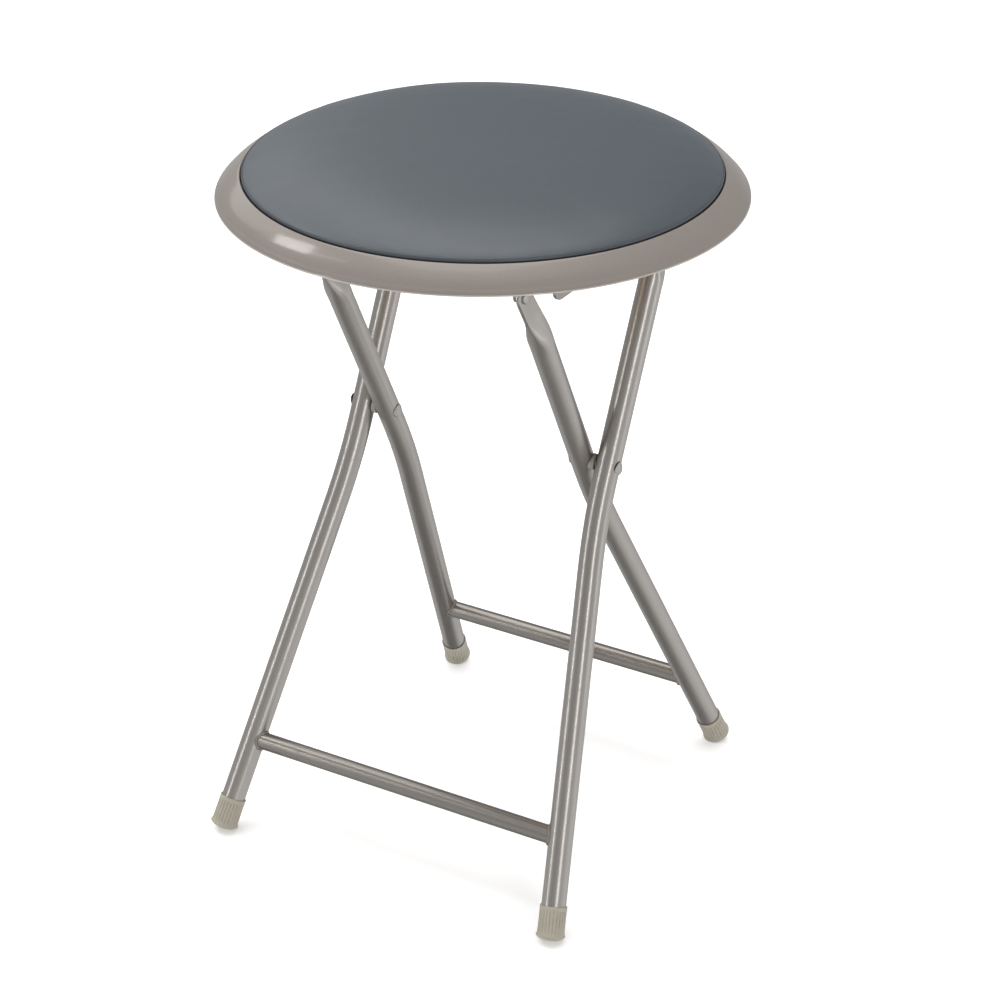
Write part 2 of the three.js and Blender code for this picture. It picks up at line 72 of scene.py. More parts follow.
# ---------------------------------------------------------------- mesh tools
def piece(name, verts, faces, material, body, nodes=(), sharp=32.0, bevel=0.0, grain=None):
    """A mesh object from millimetre points that rides on a body and stands for CAD nodes.

    grain holds a point of the material's own space for each vertex, so that drawn lines can follow a bent tube; on the
    foot tips it holds the flute depth instead, from which the material paints shade into the grooves.
    """
    me = bpy.data.meshes.new(name)
    me.from_pydata((np.asarray(verts, float) * MM).tolist(), [], [list(map(int, f)) for f in faces])
    if grain is not None:
        layer = me.attributes.new("grain", "FLOAT_VECTOR", "POINT")
        layer.data.foreach_set("vector", (np.asarray(grain, float) * MM).ravel())
    me.validate()
    bm = bmesh.new()
    bm.from_mesh(me)
    bmesh.ops.remove_doubles(bm, verts=bm.verts, dist=1e-7)
    bmesh.ops.recalc_face_normals(bm, faces=bm.faces)
    bm.to_mesh(me)
    bm.free()
    me.polygons.foreach_set("use_smooth", [True] * len(me.polygons))
    me.set_sharp_from_angle(angle=math.radians(sharp))
    me.materials.append(material)
    ob = bpy.data.objects.new(name, me)
    bpy.context.scene.collection.objects.link(ob)
    if bevel:
        mod = ob.modifiers.new("edge", "BEVEL")
        mod.width = bevel * MM
        mod.segments = 2
        mod.limit_method = "ANGLE"
        mod.angle_limit = math.radians(40)
        mod.harden_normals = True
    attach(ob, body)
    if nodes:
        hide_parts(*nodes)
    return ob


def loft(rings, wrap=True, closed_path=False):
    """Quads between rings of equal length. Each ring is an (n, 3) array."""
    n = len(rings[0])
    faces = []
    count = len(rings)
    for i in range(count if closed_path else count - 1):
        a, b = i * n, ((i + 1) % count) * n
        for j in range(n if wrap else n - 1):
            k = (j + 1) % n
            faces.append((a + j, a + k, b + k, b + j))
    return np.concatenate(rings), faces


def cap(verts, faces, start, n, centre):
    """Closes a ring of n points that begins at start with a fan to a centre point."""
    c = len(verts)
    verts = np.vstack([verts, [centre]])
    faces = faces + [(start + j, start + (j + 1) % n, c) for j in range(n)]
    return verts, faces


def lathe(profile, segments, warp=None):
    """Turns (radius, height) points about Z. Points on the axis become one pole."""
    a = np.linspace(0, 2 * math.pi, segments, endpoint=False)
    rings, verts, faces, index = [], [], [], []
    for r, z in profile:
        if r < 1e-6:
            index.append((len(verts), 1))
            verts.append((0.0, 0.0, z))
        else:
            index.append((len(verts), segments))
            verts.extend(zip(r * np.cos(a), r * np.sin(a), [z] * segments))
    for (s0, n0), (s1, n1) in zip(index[:-1], index[1:]):
        for j in range(segments):
            k = (j + 1) % segments
            if n0 == 1 and n1 == 1:
                continue
            if n0 == 1:
                faces.append((s0, s1 + k, s1 + j))
            elif n1 == 1:
                faces.append((s0 + j, s0 + k, s1))
            else:
                faces.append((s0 + j, s0 + k, s1 + k, s1 + j))
    return np.array(verts, float), faces


def closed_lathe(profile, segments):
    """A ring: the profile closes on itself."""
    return lathe(list(profile) + [profile[0]], segments)


def moved(verts, matrix):
    v = np.c_[np.asarray(verts, float), np.ones(len(verts))]
    return (v @ np.array(matrix).T)[:, :3]


def merged(parts):
    verts, faces, base = [], [], 0
    for v, f in parts:
        verts.append(np.asarray(v, float))
        faces += [tuple(i + base for i in face) for face in f]
        base += len(v)
    return np.concatenate(verts), faces


def frame_matrix(f):
    return Matrix.Translation((0, 0, PIVOT_Z)) @ Matrix.Rotation(f["tilt"], 4, "X")


def along_x(verts):
    """Turns a lathe about Z into one about X, heights along +X."""
    v = np.asarray(verts, float)
    return np.c_[v[:, 2], v[:, 0], v[:, 1]]


def smooth_profile(points, per=6):
    """A Catmull-Rom line through 2-D points."""
    p = [np.array(q, float) for q in points]
    p = [2 * p[0] - p[1]] + p + [2 * p[-1] - p[-2]]
    out = []
    for i in range(1, len(p) - 2):
        for k in range(per):
            t = k / per
            out.append(0.5 * ((2 * p[i]) + (p[i + 1] - p[i - 1]) * t + (2 * p[i - 1] - 5 * p[i] + 4 * p[i + 1] - p[i + 2]) * t * t
                              + (3 * p[i] - p[i - 1] - 3 * p[i + 1] + p[i + 2]) * t ** 3))
    out.append(p[-2])
    return out


# ----------------------------------------------------------------- materials
class Shader:
    """A Principled material and small helpers for its nodes. Coordinates are the object's own, in metres."""

    def __init__(self, name, **sockets):
        self.mat = bpy.data.materials.new(name)
        self.mat.use_nodes = True
        self.tree = self.mat.node_tree
        self.bsdf = self.tree.nodes["Principled BSDF"]
        self.coord = self.tree.nodes.new("ShaderNodeTexCoord").outputs["Object"]
        for key, value in sockets.items():
            self.bsdf.inputs[key.replace("_", " ")].default_value = value

    def node(self, kind, **values):
        n = self.tree.nodes.new(kind)
        for key, value in values.items():
            setattr(n, key, value)
        return n

    def link(self, a, b):
        self.tree.links.new(a, b)

    def scaled(self, scale):
        n = self.node("ShaderNodeMapping")
        n.inputs["Scale"].default_value = scale
        self.link(self.coord, n.inputs["Vector"])
        return n.outputs["Vector"]

    def noise(self, scale, detail=2.0, rough=0.5, vector=None, distortion=0.0):
        n = self.node("ShaderNodeTexNoise")
        n.inputs["Scale"].default_value = scale
        n.inputs["Detail"].default_value = detail
        n.inputs["Roughness"].default_value = rough
        n.inputs["Distortion"].default_value = distortion
        self.link(vector or self.coord, n.inputs["Vector"])
        return n.outputs["Fac"]

    def voronoi(self, scale, feature="F1", output="Distance", vector=None, smooth=None):
        n = self.node("ShaderNodeTexVoronoi", feature=feature)
        n.inputs["Scale"].default_value = scale
        if smooth is not None and "Smoothness" in n.inputs:
            n.inputs["Smoothness"].default_value = smooth
        self.link(vector or self.coord, n.inputs["Vector"])
        return n.outputs[output]

    def ranged(self, value, low, high, to_low, to_high):
        n = self.node("ShaderNodeMapRange")
        for key, v in zip(("From Min", "From Max", "To Min", "To Max"), (low, high, to_low, to_high)):
            n.inputs[key].default_value = v
        self.link(value, n.inputs["Value"])
        return n.outputs["Result"]

    def ramp(self, value, stops):
        n = self.node("ShaderNodeValToRGB")
        while len(n.color_ramp.elements) < len(stops):
            n.color_ramp.elements.new(0.5)
        for e, (at, colour) in zip(n.color_ramp.elements, stops):
            e.position = at
            e.color = (*colour, 1)
        self.link(value, n.inputs["Fac"])
        return n.outputs["Color"]

    def math(self, op, a, b):
        n = self.node("ShaderNodeMath", operation=op)
        for socket, v in zip(n.inputs, (a, b)):
            if isinstance(v, (int, float)):
                socket.default_value = v
            else:
                self.link(v, socket)
        return n.outputs[0]

    def bump(self, height, distance, strength=1.0, under=None):
        n = self.node("ShaderNodeBump")
        n.inputs["Distance"].default_value = distance
        n.inputs["Strength"].default_value = strength
        self.link(height, n.inputs["Height"])
        if under is not None:
            self.link(under, n.inputs["Normal"])
        return n.outputs["Normal"]

    def set(self, **links):
        for key, output in links.items():
            self.link(output, self.bsdf.inputs[key.replace("_", " ")])
        return self


def srgb(r, g, b):
    return tuple(((c / 255) / 12.92 if c / 255 <= 0.04045 else ((c / 255 + 0.055) / 1.055) ** 2.4) for c in (r, g, b))


def between(c, k):
    """A colour scaled in brightness."""
    return tuple(x * k for x in c)


def tube_paint(name, colour, rough, metallic=0.86, flake=0.05, lines=None, weight=0.0000015):
    """Silver metallic paint. lines is the space in which fine drawn lines run along Z or X."""
    s = Shader(name, Metallic=metallic, Specular_IOR_Level=0.5)
    if lines == "grain":
        way = s.node("ShaderNodeAttribute", attribute_type="GEOMETRY", attribute_name="grain").outputs["Vector"]
    elif lines == "x":
        way = s.scaled((0.003, 1.0, 1.0))
    else:
        way = s.coord
    drawn = s.noise(620.0, 2.0, 0.5, vector=way)
    patch = s.noise(34.0, 3.0, 0.55)
    mixed = s.math("ADD", s.math("MULTIPLY", drawn, 0.6), s.math("MULTIPLY", patch, 0.4))
    s.set(Base_Color=s.ramp(mixed, [(0.3, between(colour, 1 - flake)), (0.5, colour), (0.7, between(colour, 1 + flake))]))
    s.set(Roughness=s.ranged(drawn, 0.3, 0.7, rough - 0.02, rough + 0.02))
    s.set(Normal=s.bump(drawn, weight))
    return s.mat


def rim_paint():
    base = srgb(131, 124, 118)
    s = Shader("rim_satin", Metallic=0.08, Specular_IOR_Level=0.12, Coat_Weight=0.5, Coat_Roughness=0.10)
    sparkle = s.voronoi(2400.0, output="Color")
    split = s.node("ShaderNodeSeparateColor")
    s.link(sparkle, split.inputs[0])
    patch = s.noise(18.0, 3.0, 0.5)
    mixed = s.math("ADD", s.math("MULTIPLY", split.outputs[0], 0.4), s.math("MULTIPLY", patch, 0.6))
    paint = s.ramp(mixed, [(0.15, between(base, 0.93)), (0.5, base), (0.85, between(base, 1.05))])
    # a painted highlight: the rolled lip is painted lighter, more in some places than in others
    height = s.node("ShaderNodeSeparateXYZ")
    s.link(s.coord, height.inputs[0])
    lip = s.ranged(height.outputs[2], 0.4287, 0.4281, 0.0, 1.0)
    lip_highlight = s.math("MULTIPLY", lip, s.ranged(s.noise(9.0, 2.0, 0.5), 0.35, 0.65, 0.6, 1.0))
    lip_highlight_mix = s.node("ShaderNodeMix", data_type="RGBA")
    s.link(lip_highlight, lip_highlight_mix.inputs["Factor"])
    s.link(paint, lip_highlight_mix.inputs[6])
    lip_highlight_mix.inputs[7].default_value = (*srgb(190, 184, 177), 1)
    s.set(Base_Color=lip_highlight_mix.outputs[2])
    s.set(Roughness=s.ranged(s.noise(60.0, 4.0, 0.6), 0.25, 0.75, 0.30, 0.35))
    s.set(Normal=s.bump(s.noise(420.0, 2.0, 0.5), 0.00001))
    return s.mat


def vinyl():
    base = srgb(67, 73, 78)
    s = Shader("cushion_vinyl", Metallic=0.0, Specular_IOR_Level=0.5, Sheen_Weight=0.12, Sheen_Roughness=0.4)
    s.bsdf.inputs["Sheen Tint"].default_value = (*srgb(170, 178, 198), 1)
    warp = s.noise(60.0, 3.0, 0.6)
    cells = s.voronoi(850.0, feature="DISTANCE_TO_EDGE")
    creases = s.ranged(cells, 0.0, 0.16, 0.0, 1.0)
    fine = s.noise(2400.0, 3.0, 0.6)
    grain = s.math("ADD", s.math("MULTIPLY", creases, 0.7), s.math("MULTIPLY", fine, 0.3))
    soft = s.noise(9.0, 2.0, 0.5)
    tone = s.math("ADD", s.math("MULTIPLY", grain, 0.35), s.math("MULTIPLY", s.math("ADD", soft, warp), 0.33))
    s.set(Base_Color=s.ramp(tone, [(0.2, between(base, 0.90)), (0.55, base), (0.9, between(base, 1.07))]))
    s.set(Roughness=s.ranged(s.math("ADD", s.math("MULTIPLY", creases, -0.3), warp), 0.0, 0.8, 0.42, 0.34))
    s.set(Normal=s.bump(grain, 0.000035))
    return s.mat


def tip_plastic():
    base = srgb(167, 161, 147)
    s = Shader("foot_tip_plastic", Metallic=0.0, Specular_IOR_Level=0.4)
    groove = s.node("ShaderNodeSeparateXYZ")
    s.link(s.node("ShaderNodeAttribute", attribute_type="GEOMETRY", attribute_name="grain").outputs["Vector"], groove.inputs[0])
    # painted shade: the tone drops with the flute depth carried in the grain attribute, so the grooves are painted
    # darker
    tone = s.math("SUBTRACT", s.noise(120.0, 4.0, 0.6), s.math("MULTIPLY", groove.outputs[0], 400.0))
    s.set(Base_Color=s.ramp(tone, [(0.0, between(base, 0.66)), (0.3, between(base, 0.92)), (0.55, base), (0.8, between(base, 1.05))]))
    s.set(Roughness=s.ranged(s.noise(400.0, 3.0, 0.6), 0.3, 0.7, 0.50, 0.62))
    s.set(Normal=s.bump(s.noise(1800.0, 3.0, 0.6), 0.00001))
    return s.mat


def zinc(name, colour=(0.62, 0.62, 0.60), rough=0.30):
    s = Shader(name, Metallic=1.0)
    s.set(Base_Color=s.ramp(s.noise(500.0, 4.0, 0.7), [(0.3, between(colour, 0.82)), (0.55, colour), (0.8, between(colour, 1.08))]))
    s.set(Roughness=s.ranged(s.noise(900.0, 3.0, 0.6), 0.3, 0.7, rough - 0.05, rough + 0.12))
    s.set(Normal=s.bump(s.noise(2600.0, 2.0, 0.5), 0.000012))
    return s.mat


def bush_plastic():
    base = srgb(138, 134, 128)
    s = Shader("bush_plastic", Specular_IOR_Level=0.5)
    s.set(Base_Color=s.ramp(s.noise(300.0, 3.0, 0.6), [(0.3, between(base, 0.9)), (0.7, between(base, 1.05))]))
    s.set(Roughness=s.ranged(s.noise(500.0, 2.0, 0.5), 0.3, 0.7, 0.32, 0.42))
    return s.mat


def plywood():
    s = Shader("birch_plywood", Specular_IOR_Level=0.35)
    v = s.scaled((1.0, 9.0, 9.0))
    rings = s.noise(22.0, 5.0, 0.62, vector=v, distortion=0.9)
    fibre = s.noise(260.0, 4.0, 0.7, vector=s.scaled((1.0, 26.0, 26.0)))
    pores = s.ranged(s.noise(900.0, 2.0, 0.5, vector=s.scaled((1.0, 14.0, 14.0))), 0.62, 0.75, 0.0, 1.0)
    tone = s.math("ADD", s.math("MULTIPLY", rings, 0.7), s.math("MULTIPLY", fibre, 0.3))
    tone = s.math("SUBTRACT", tone, s.math("MULTIPLY", pores, 0.12))
    s.set(Base_Color=s.ramp(tone, [(0.25, srgb(150, 112, 72)), (0.45, srgb(190, 152, 106)), (0.6, srgb(206, 172, 126)), (0.8, srgb(219, 189, 146))]))
    s.set(Roughness=s.ranged(fibre, 0.3, 0.7, 0.58, 0.75))
    s.set(Normal=s.bump(s.math("ADD", fibre, s.math("MULTIPLY", pores, -0.8)), 0.00008))
    return s.mat


def foam():
    s = Shader("seat_foam", Specular_IOR_Level=0.2)
    pores = s.voronoi(520.0)
    s.set(Base_Color=s.ramp(pores, [(0.0, srgb(196, 182, 132)), (0.35, srgb(226, 214, 170)), (0.7, srgb(238, 229, 192))]))
    s.set(Roughness=s.ranged(s.noise(300.0), 0.3, 0.7, 0.9, 1.0))
    s.set(Normal=s.bump(pores, 0.0006))
    return s.mat


def floor_white():
    s = Shader("studio_floor", Specular_IOR_Level=0.25)
    s.set(Base_Color=s.ramp(s.noise(1.3, 2.0, 0.5), [(0.3, (0.86, 0.86, 0.86)), (0.7, (0.88, 0.88, 0.88))]))
    s.set(Roughness=s.ranged(s.noise(40.0, 3.0, 0.6), 0.3, 0.7, 0.6, 0.7))
    s.bsdf.inputs["Emission Color"].default_value = (1, 1, 1, 1)
    s.bsdf.inputs["Emission Strength"].default_value = 0.27  # a floor lit from below
    return s.mat


TUBE = tube_paint("tube_paint", srgb(172, 168, 163), 0.30, lines="grain")
BAR = tube_paint("bar_paint", srgb(147, 142, 136), 0.30, lines="x")
BRACKET = tube_paint("bracket_paint", srgb(160, 154, 148), 0.34)
RIVET = tube_paint("rivet_paint", srgb(176, 171, 165), 0.31, flake=0.03)
RIM = rim_paint()
VINYL = vinyl()
TIP = tip_plastic()
ZINC = zinc("screw_zinc")
ROD = zinc("rod_zinc", (0.56, 0.55, 0.53), 0.28)
STAPLE = zinc("staple_wire", (0.70, 0.70, 0.70), 0.22)
BUSH = bush_plastic()
PLY = plywood()
FOAM = foam()


# ---------------------------------------------------------------------- legs
def leg_line(f):
    corner = np.array([f["x_top"], f["bend_up"] - f["to_floor"]])
    foot = np.array([f["x_foot"], -f["to_floor"]])
    down = (foot - corner) / np.linalg.norm(foot - corner)
    angle = math.atan2(down[0], -down[1])
    return corner, foot, down, angle, BEND_R * math.tan(angle / 2)


def leg_stations(f):
    """(x, z, lean) along the leg's axis, from the end in the foot tip to the last full section."""
    corner, foot, down, angle, tangent = leg_line(f)
    start = foot - down * TUBE_END_UP
    c0 = np.array([corner[0] + BEND_R, corner[1] + tangent])
    s0 = np.array([c0[0] - BEND_R * math.cos(angle), c0[1] - BEND_R * math.sin(angle)])
    out = []
    n = max(2, int(np.linalg.norm(s0 - start) / 9))
    for i in range(n):
        p = start + (s0 - start) * i / n
        out.append((p[0], p[1], angle))
    for i in range(19):
        a = angle * (1 - i / 18)
        out.append((c0[0] - BEND_R * math.cos(a), c0[1] - BEND_R * math.sin(a), a))
    z = out[-1][1]
    n = int((f["round_to"] - 9 - z) / 9)
    for i in range(1, n + 1):
        out.append((f["x_top"], z + (f["round_to"] - 9 - z) * i / n, 0.0))
    z = f["round_to"] - 9
    end = f["end_at"]
    zs = list(np.arange(z + 0.6, f["flat_from"] + 6.5, 0.6)) + list(np.linspace(f["flat_from"] + 7, end, 10))
    zs += [end + f["end_r"] * math.sin(math.radians(a)) for a in (8, 16, 24, 32, 40, 48, 56, 63, 70, 76, 81, 85, 88)]
    for z in zs:
        out.append((f["x_top"], z, 0.0))
    return out


def even(line, count):
    """A 2-D line with its points spread evenly along it."""
    line = np.array(line)
    run = np.r_[0, np.cumsum(np.hypot(*np.diff(line, axis=0).T))]
    at = np.linspace(0, run[-1], count)
    return np.c_[np.interp(at, run, line[:, 0]), np.interp(at, run, line[:, 1])]


def pressed(half, wide, cols):
    """A tube's section pressed to half its thickness: (across, fore-and-aft) points. The faces flatten, the edges stay round."""
    clipped = TUBE_R - math.sqrt(max(0.0, TUBE_R ** 2 - half ** 2))
    edge = min(wide, max(clipped * wide / TUBE_R, min(half, 1.25)))
    face = max(0.0, wide - edge)
    quarter = cols // 4
    turn = np.linspace(0, math.pi / 2, 161)
    struck = even([(half, 0.0)] + [(half * math.cos(a), face + edge * math.sin(a)) for a in turn], quarter + 1)
    power = 2 + 4.5 * max(0.0, (TUBE_R - half) / (TUBE_R - FLAT / 2)) ** 1.2
    bulged = even([(half * math.cos(a) ** (2 / power), wide * math.sin(a) ** (2 / power)) for a in turn], quarter + 1)
    n, y = (0.35 * struck + 0.65 * bulged).T
    n[-1], y[-1] = 0.0, wide
    n = np.r_[n[:-1], -n[::-1][:-1], -n[:-1], n[::-1][:-1]]
    y = np.r_[y[:-1], y[::-1][:-1], -y[:-1], -y[::-1][:-1]]
    return n, y


def thickness(f, z):
    """Half the tube's thickness at height z: a ramp with eased ends."""
    t, e = (z - f["round_to"]) / (f["flat_from"] - f["round_to"]), 0.3
    if t < -e:
        ramp = 0.0
    elif t < e:
        ramp = (t + e) ** 2 / (4 * e)
    elif t < 1 - e:
        ramp = t
    elif t < 1 + e:
        ramp = 1 - (1 + e - t) ** 2 / (4 * e)
    else:
        ramp = 1.0
    return TUBE_R + (FLAT / 2 - TUBE_R) * ramp


def build_leg(word, side, f, body):
    cols = 120
    rings, grain = [], []
    for k, (x, z, lean) in enumerate(leg_stations(f)):
        half = TUBE_R if z < f["round_to"] - 9 else thickness(f, z)
        if z <= f["flat_from"]:
            lo, hi = -TUBE_R, TUBE_R
        elif z <= f["end_at"]:
            t = (z - f["flat_from"]) / (f["end_at"] - f["flat_from"])
            lo = -TUBE_R + (f["end_off"] - f["end_r"] + TUBE_R) * t
            hi = TUBE_R + (f["end_off"] + f["end_r"] - TUBE_R) * t
        else:
            w = math.sqrt(max(0.0, f["end_r"] ** 2 - (z - f["end_at"]) ** 2))
            lo, hi = f["end_off"] - w, f["end_off"] + w
        n, y = pressed(half, max(0.3, (hi - lo) / 2), cols)
        if half < 2.2:  # the fold line where the two walls meet at each edge
            fold = 0.35 * min(1.0, (2.2 - half) / 0.5)
            y[cols // 4] -= fold
            y[3 * cols // 4] += fold
        y = y + (lo + hi) / 2
        # across the leg in its frame's plane, and along it
        ct, st = math.cos(lean), math.sin(lean)
        rings.append(np.c_[side * (x + n * ct), y, z + n * st])
        grain.append(np.c_[n + 40 * side, y + 60 * (f is OUTER), np.full(cols, z * 0.006)])
    first = rings[0]
    inner = []
    x, z, lean = leg_stations(f)[0]
    for up in (0.0, 14.0, 40.0):
        s = (TUBE_R - WALL) / TUBE_R
        centre = np.array([side * x, 0, z])
        down = np.array([-side * math.sin(lean), 0, math.cos(lean)])
        inner.append(centre + (first - centre) * s + down * up)
    rings = inner[::-1] + rings
    grain = [grain[0]] * 3 + grain
    verts, faces = loft(rings)
    verts, faces = cap(verts, faces, 0, cols, rings[0].mean(0))
    verts, faces = cap(verts, faces, (len(rings) - 1) * cols, cols, rings[-1].mean(0))
    grain = np.vstack(grain + [grain[0].mean(0), grain[-1].mean(0)])
    verts = moved(verts, frame_matrix(f))
    node = ("outer" if f is OUTER else "inner") + "_leg_" + word
    return piece(node + "_tube", verts, faces, TUBE, body, [node], sharp=42, grain=grain)


# ----------------------------------------------------------------- foot tips
def build_tip(word, side, f, body):
    corner, foot, down, angle, _ = leg_line(f)
    flutes, per = 24, 8
    cols = flutes * per
    sole = [(1.6, 1.75), (3.0, 1.8), (4.6, 2.0), (6.0, 2.35), (7.2, 2.85), (8.0, 3.35), (8.7, 3.95), (9.1, 4.45), (TIP_LIP_R, 4.75)]
    wall = [(9.19, 4.95), (9.1, 5.2), (8.88, 5.55), (8.7, 6.0), (8.58, 6.6), (8.52, 7.3), (8.5, 8.2), (8.5, 9.6), (8.48, 11.5), (8.46, 13.5), (8.45, 15.5), (8.45, 17.5),
            (8.45, 19.5), (8.45, 20.5), (8.45, 20.9), (8.5, 21.05), (8.56, 21.2), (8.56, 21.6), (8.56, 22.7), (8.52, 23.05), (8.4, 23.28), (8.2, TIP_TOP_UP),
            (7.95, TIP_TOP_UP), (7.78, 23.2), (7.74, 22.9), (TIP_BORE_R, 22.4), (TIP_BORE_R, 12.0), (TIP_BORE_R, TIP_FLOOR_UP + 0.05)]
    th = np.linspace(0, 2 * math.pi, cols, endpoint=False)
    ridge = 0.5 - 0.5 * np.cos(th * flutes)  # 0 in the groove, 1 on the ridge
    rings, grain = [], []
    for r, h in sole + wall:
        depth = 0.0
        if r > 8.3 and 6.0 < h < 20.95:
            depth = 0.46 * min(1.0, (h - 6.0) / 1.4) * min(1.0, (20.95 - h) / 0.5)
        dip = depth * (1 - ridge) ** 2.2
        rings.append(np.c_[(r - dip) * np.cos(th), (r - dip) * np.sin(th), np.full(cols, h)])
        # the grain attribute here carries the flute depth, from which the tip material paints shade into the grooves
        grain.append(np.c_[dip * 2, dip * 0, dip * 0])
    verts, faces = loft(rings)
    verts, faces = cap(verts, faces, 0, cols, (0, 0, 1.72))
    verts, faces = cap(verts, faces, (len(rings) - 1) * cols, cols, (0, 0, TIP_FLOOR_UP))
    grain = np.vstack(grain + [np.zeros((2, 3))])
    up = Vector((side * (corner[0] - foot[0]), 0, corner[1] - foot[1])).normalized()
    turn = Vector((0, 0, 1)).rotation_difference(up).to_matrix().to_4x4()
    m = frame_matrix(f) @ Matrix.Translation((side * foot[0], 0, foot[1])) @ turn
    verts = moved(verts, m)
    verts[:, 2] = np.maximum(verts[:, 2], 0.0)
    node = ("outer" if f is OUTER else "inner") + "_foot_" + word
    return piece(node + "_tip", verts, faces, TIP, body, [node], sharp=38, grain=grain)


# ------------------------------------------------------------------ crossbar
def build_bar(f, body):
    corner, foot, down, angle, _ = leg_line(f)
    zb = f["bar_up"] - f["to_floor"]
    xc = foot[0] + (corner[0] - foot[0]) * f["bar_up"] / f["bend_up"]
    d = np.array([-math.sin(angle), 0.0, math.cos(angle)])
    cols = 72
    th = np.linspace(0, 2 * math.pi, cols, endpoint=False)
    y, z = BAR_R * np.cos(th), BAR_R * np.sin(th)

    def reach(yy, zz, radius):
        # x from the leg's axis at which a line along X meets the leg, on its inner side
        dx, dz = d[0], d[2]
        a = 1 - dx * dx
        b = -2 * dx * dz * zz
        c = yy ** 2 + zz ** 2 - (zz * dz) ** 2 - radius ** 2
        return (-b - np.sqrt(np.maximum(0, b * b - 4 * a * c))) / (2 * a)

    end = xc + reach(y, z, TUBE_R - 0.1)
    ts = np.concatenate([[1.0, 0.985], np.linspace(0.95, -0.95, 31), [-0.985, -1.0]])
    rings = [np.c_[end * t, y, z + zb] for t in ts]
    verts, faces = loft(rings)
    verts, faces = cap(verts, faces, 0, cols, (end.mean(), 0, zb))
    verts, faces = cap(verts, faces, (len(ts) - 1) * cols, cols, (-end.mean(), 0, zb))
    parts = [(verts, faces)]
    # Weld beads: a low rippled fillet round each end.
    count, round_ = 150, 14
    a = np.linspace(0, 2 * math.pi, count, endpoint=False)
    for _, side in SIDES:
        phase = rng.uniform(0, 6.28, 4)
        ripple = 0.10 * np.sin(a * 34 + phase[0] + 1.2 * np.sin(a * 3 + phase[1])) + 0.12 * np.sin(a * 5 + phase[2]) + 0.08 * np.sin(a * 9 + phase[3])
        size = 1.15 + ripple
        cy, cz = BAR_R * np.cos(a), BAR_R * np.sin(a)
        cx = xc + reach(cy, cz, TUBE_R)
        bead = []
        for i in range(count):
            ring = []
            rad = np.array([0.0, math.cos(a[i]), math.sin(a[i])])
            for k in range(round_):
                p = 2 * math.pi * k / round_
                off = size[i] * (math.cos(p) * np.array([-0.95, 0, 0]) + math.sin(p) * rad * 0.8)
                ring.append(np.array([cx[i] - 0.15, cy[i] * 1.02, cz[i] * 1.02]) + off)
            bead.append(np.array(ring))
        v, fc = loft(bead, closed_path=True)
        v = v * np.array([side, 1, 1]) + np.array([0, 0, zb])
        parts.append((v, fc))
    verts, faces = merged(parts)
    verts = moved(verts, frame_matrix(f))
    node = ("outer" if f is OUTER else "inner") + "_crossbar"
    return piece(node + "_welded", verts, faces, BAR, body, [node], sharp=50)


# -------------------------------------------------------- rivets, rod, bushes
def dome(radius, height, base, sign, edge=0.45, steps=9):
    """Profile of a low riveted head from its rim to the axis, (radius, x)."""
    pts = [(radius - 0.12, base), (radius, base + sign * 0.12), (radius, base + sign * edge)]
    for i in range(1, steps + 1):
        t = i / steps * math.pi / 2
        pts.append((radius * math.cos(t) ** 0.8 if i < steps else 0.0, base + sign * (edge + (height - edge) * math.sin(t))))
    return pts


def turned_x(profile, segments=48):
    v, f = lathe(profile, segments)
    return along_x(v), f


def build_rivets():
    out = OUTER["x_top"] + TUBE_R + GAP
    inn = INNER["x_top"] - TUBE_R - GAP
    m = frame_matrix(INNER)
    for word, side in SIDES:
        prof = dome(4.5, 0.85, inn + 0.2, -1, 0.3)[::-1] + [(4.4, inn + 0.28), (3.0, inn + 0.28), (3.0, out - 0.28), (4.4, out - 0.28)] + dome(4.5, 0.85, out - 0.2, 1, 0.3)
        v, f = turned_x(prof)
        # the heads are formed down onto the round tubes
        round_ = (TUBE_R + GAP) - np.sqrt((TUBE_R + GAP) ** 2 - np.minimum(np.abs(v[:, 1]), 4.6) ** 2)
        v[:, 0] += 0.8 * round_ * np.where(v[:, 0] > out - 0.3, -1.0, np.where(v[:, 0] < inn + 0.3, 1.0, 0.0))
        v = v * np.array([side, 1, 1])
        piece(f"pivot_rivet_{word}_domed", moved(v, m), f, RIVET, "inner_frame", [f"pivot_rivet_{word}"], sharp=35)

        h1 = INNER["x_top"] + FLAT / 2 + GAP
        h0 = 66.9 - GAP
        prof = dome(4.0, 1.6, h0, -1)[::-1] + [(3.9, h0 + 0.28), (2.2, h0 + 0.28), (2.2, h1 - 0.28), (3.9, h1 - 0.28)] + dome(4.0, 1.6, h1, 1)
        v, f = turned_x(prof)
        v = v * np.array([side, 1, 1]) + np.array([0, INNER["end_off"], INNER["end_at"]])
        piece(f"hinge_rivet_{word}_domed", moved(v, m), f, RIVET, "inner_frame", [f"hinge_rivet_{word}"], sharp=35)

        flat = OUTER["x_top"] - TUBE_R - GAP
        cols = 64
        th = np.linspace(0, 2 * math.pi, cols, endpoint=False)
        rings = []

        def coped(r):
            y = r * np.cos(th)
            return INNER["x_top"] + np.sqrt((TUBE_R + GAP) ** 2 - y ** 2)

        for r, x in [(3.3, None), (4.9, None), (5.2, "c"), (5.2, flat - 0.55), (5.05, flat - 0.2), (4.7, flat), (3.3, flat)]:
            if x is None:
                xs = coped(r)
            elif x == "c":
                xs = coped(r) + 0.25
            else:
                xs = np.full(cols, x)
            rings.append(np.c_[xs, r * np.cos(th), r * np.sin(th)])
        v, f = loft(rings, closed_path=True)
        v = v * np.array([side, 1, 1])
        piece(f"pivot_bush_{word}_coped", moved(v, m), f, BUSH, "inner_frame", [f"pivot_bush_{word}"], sharp=40)


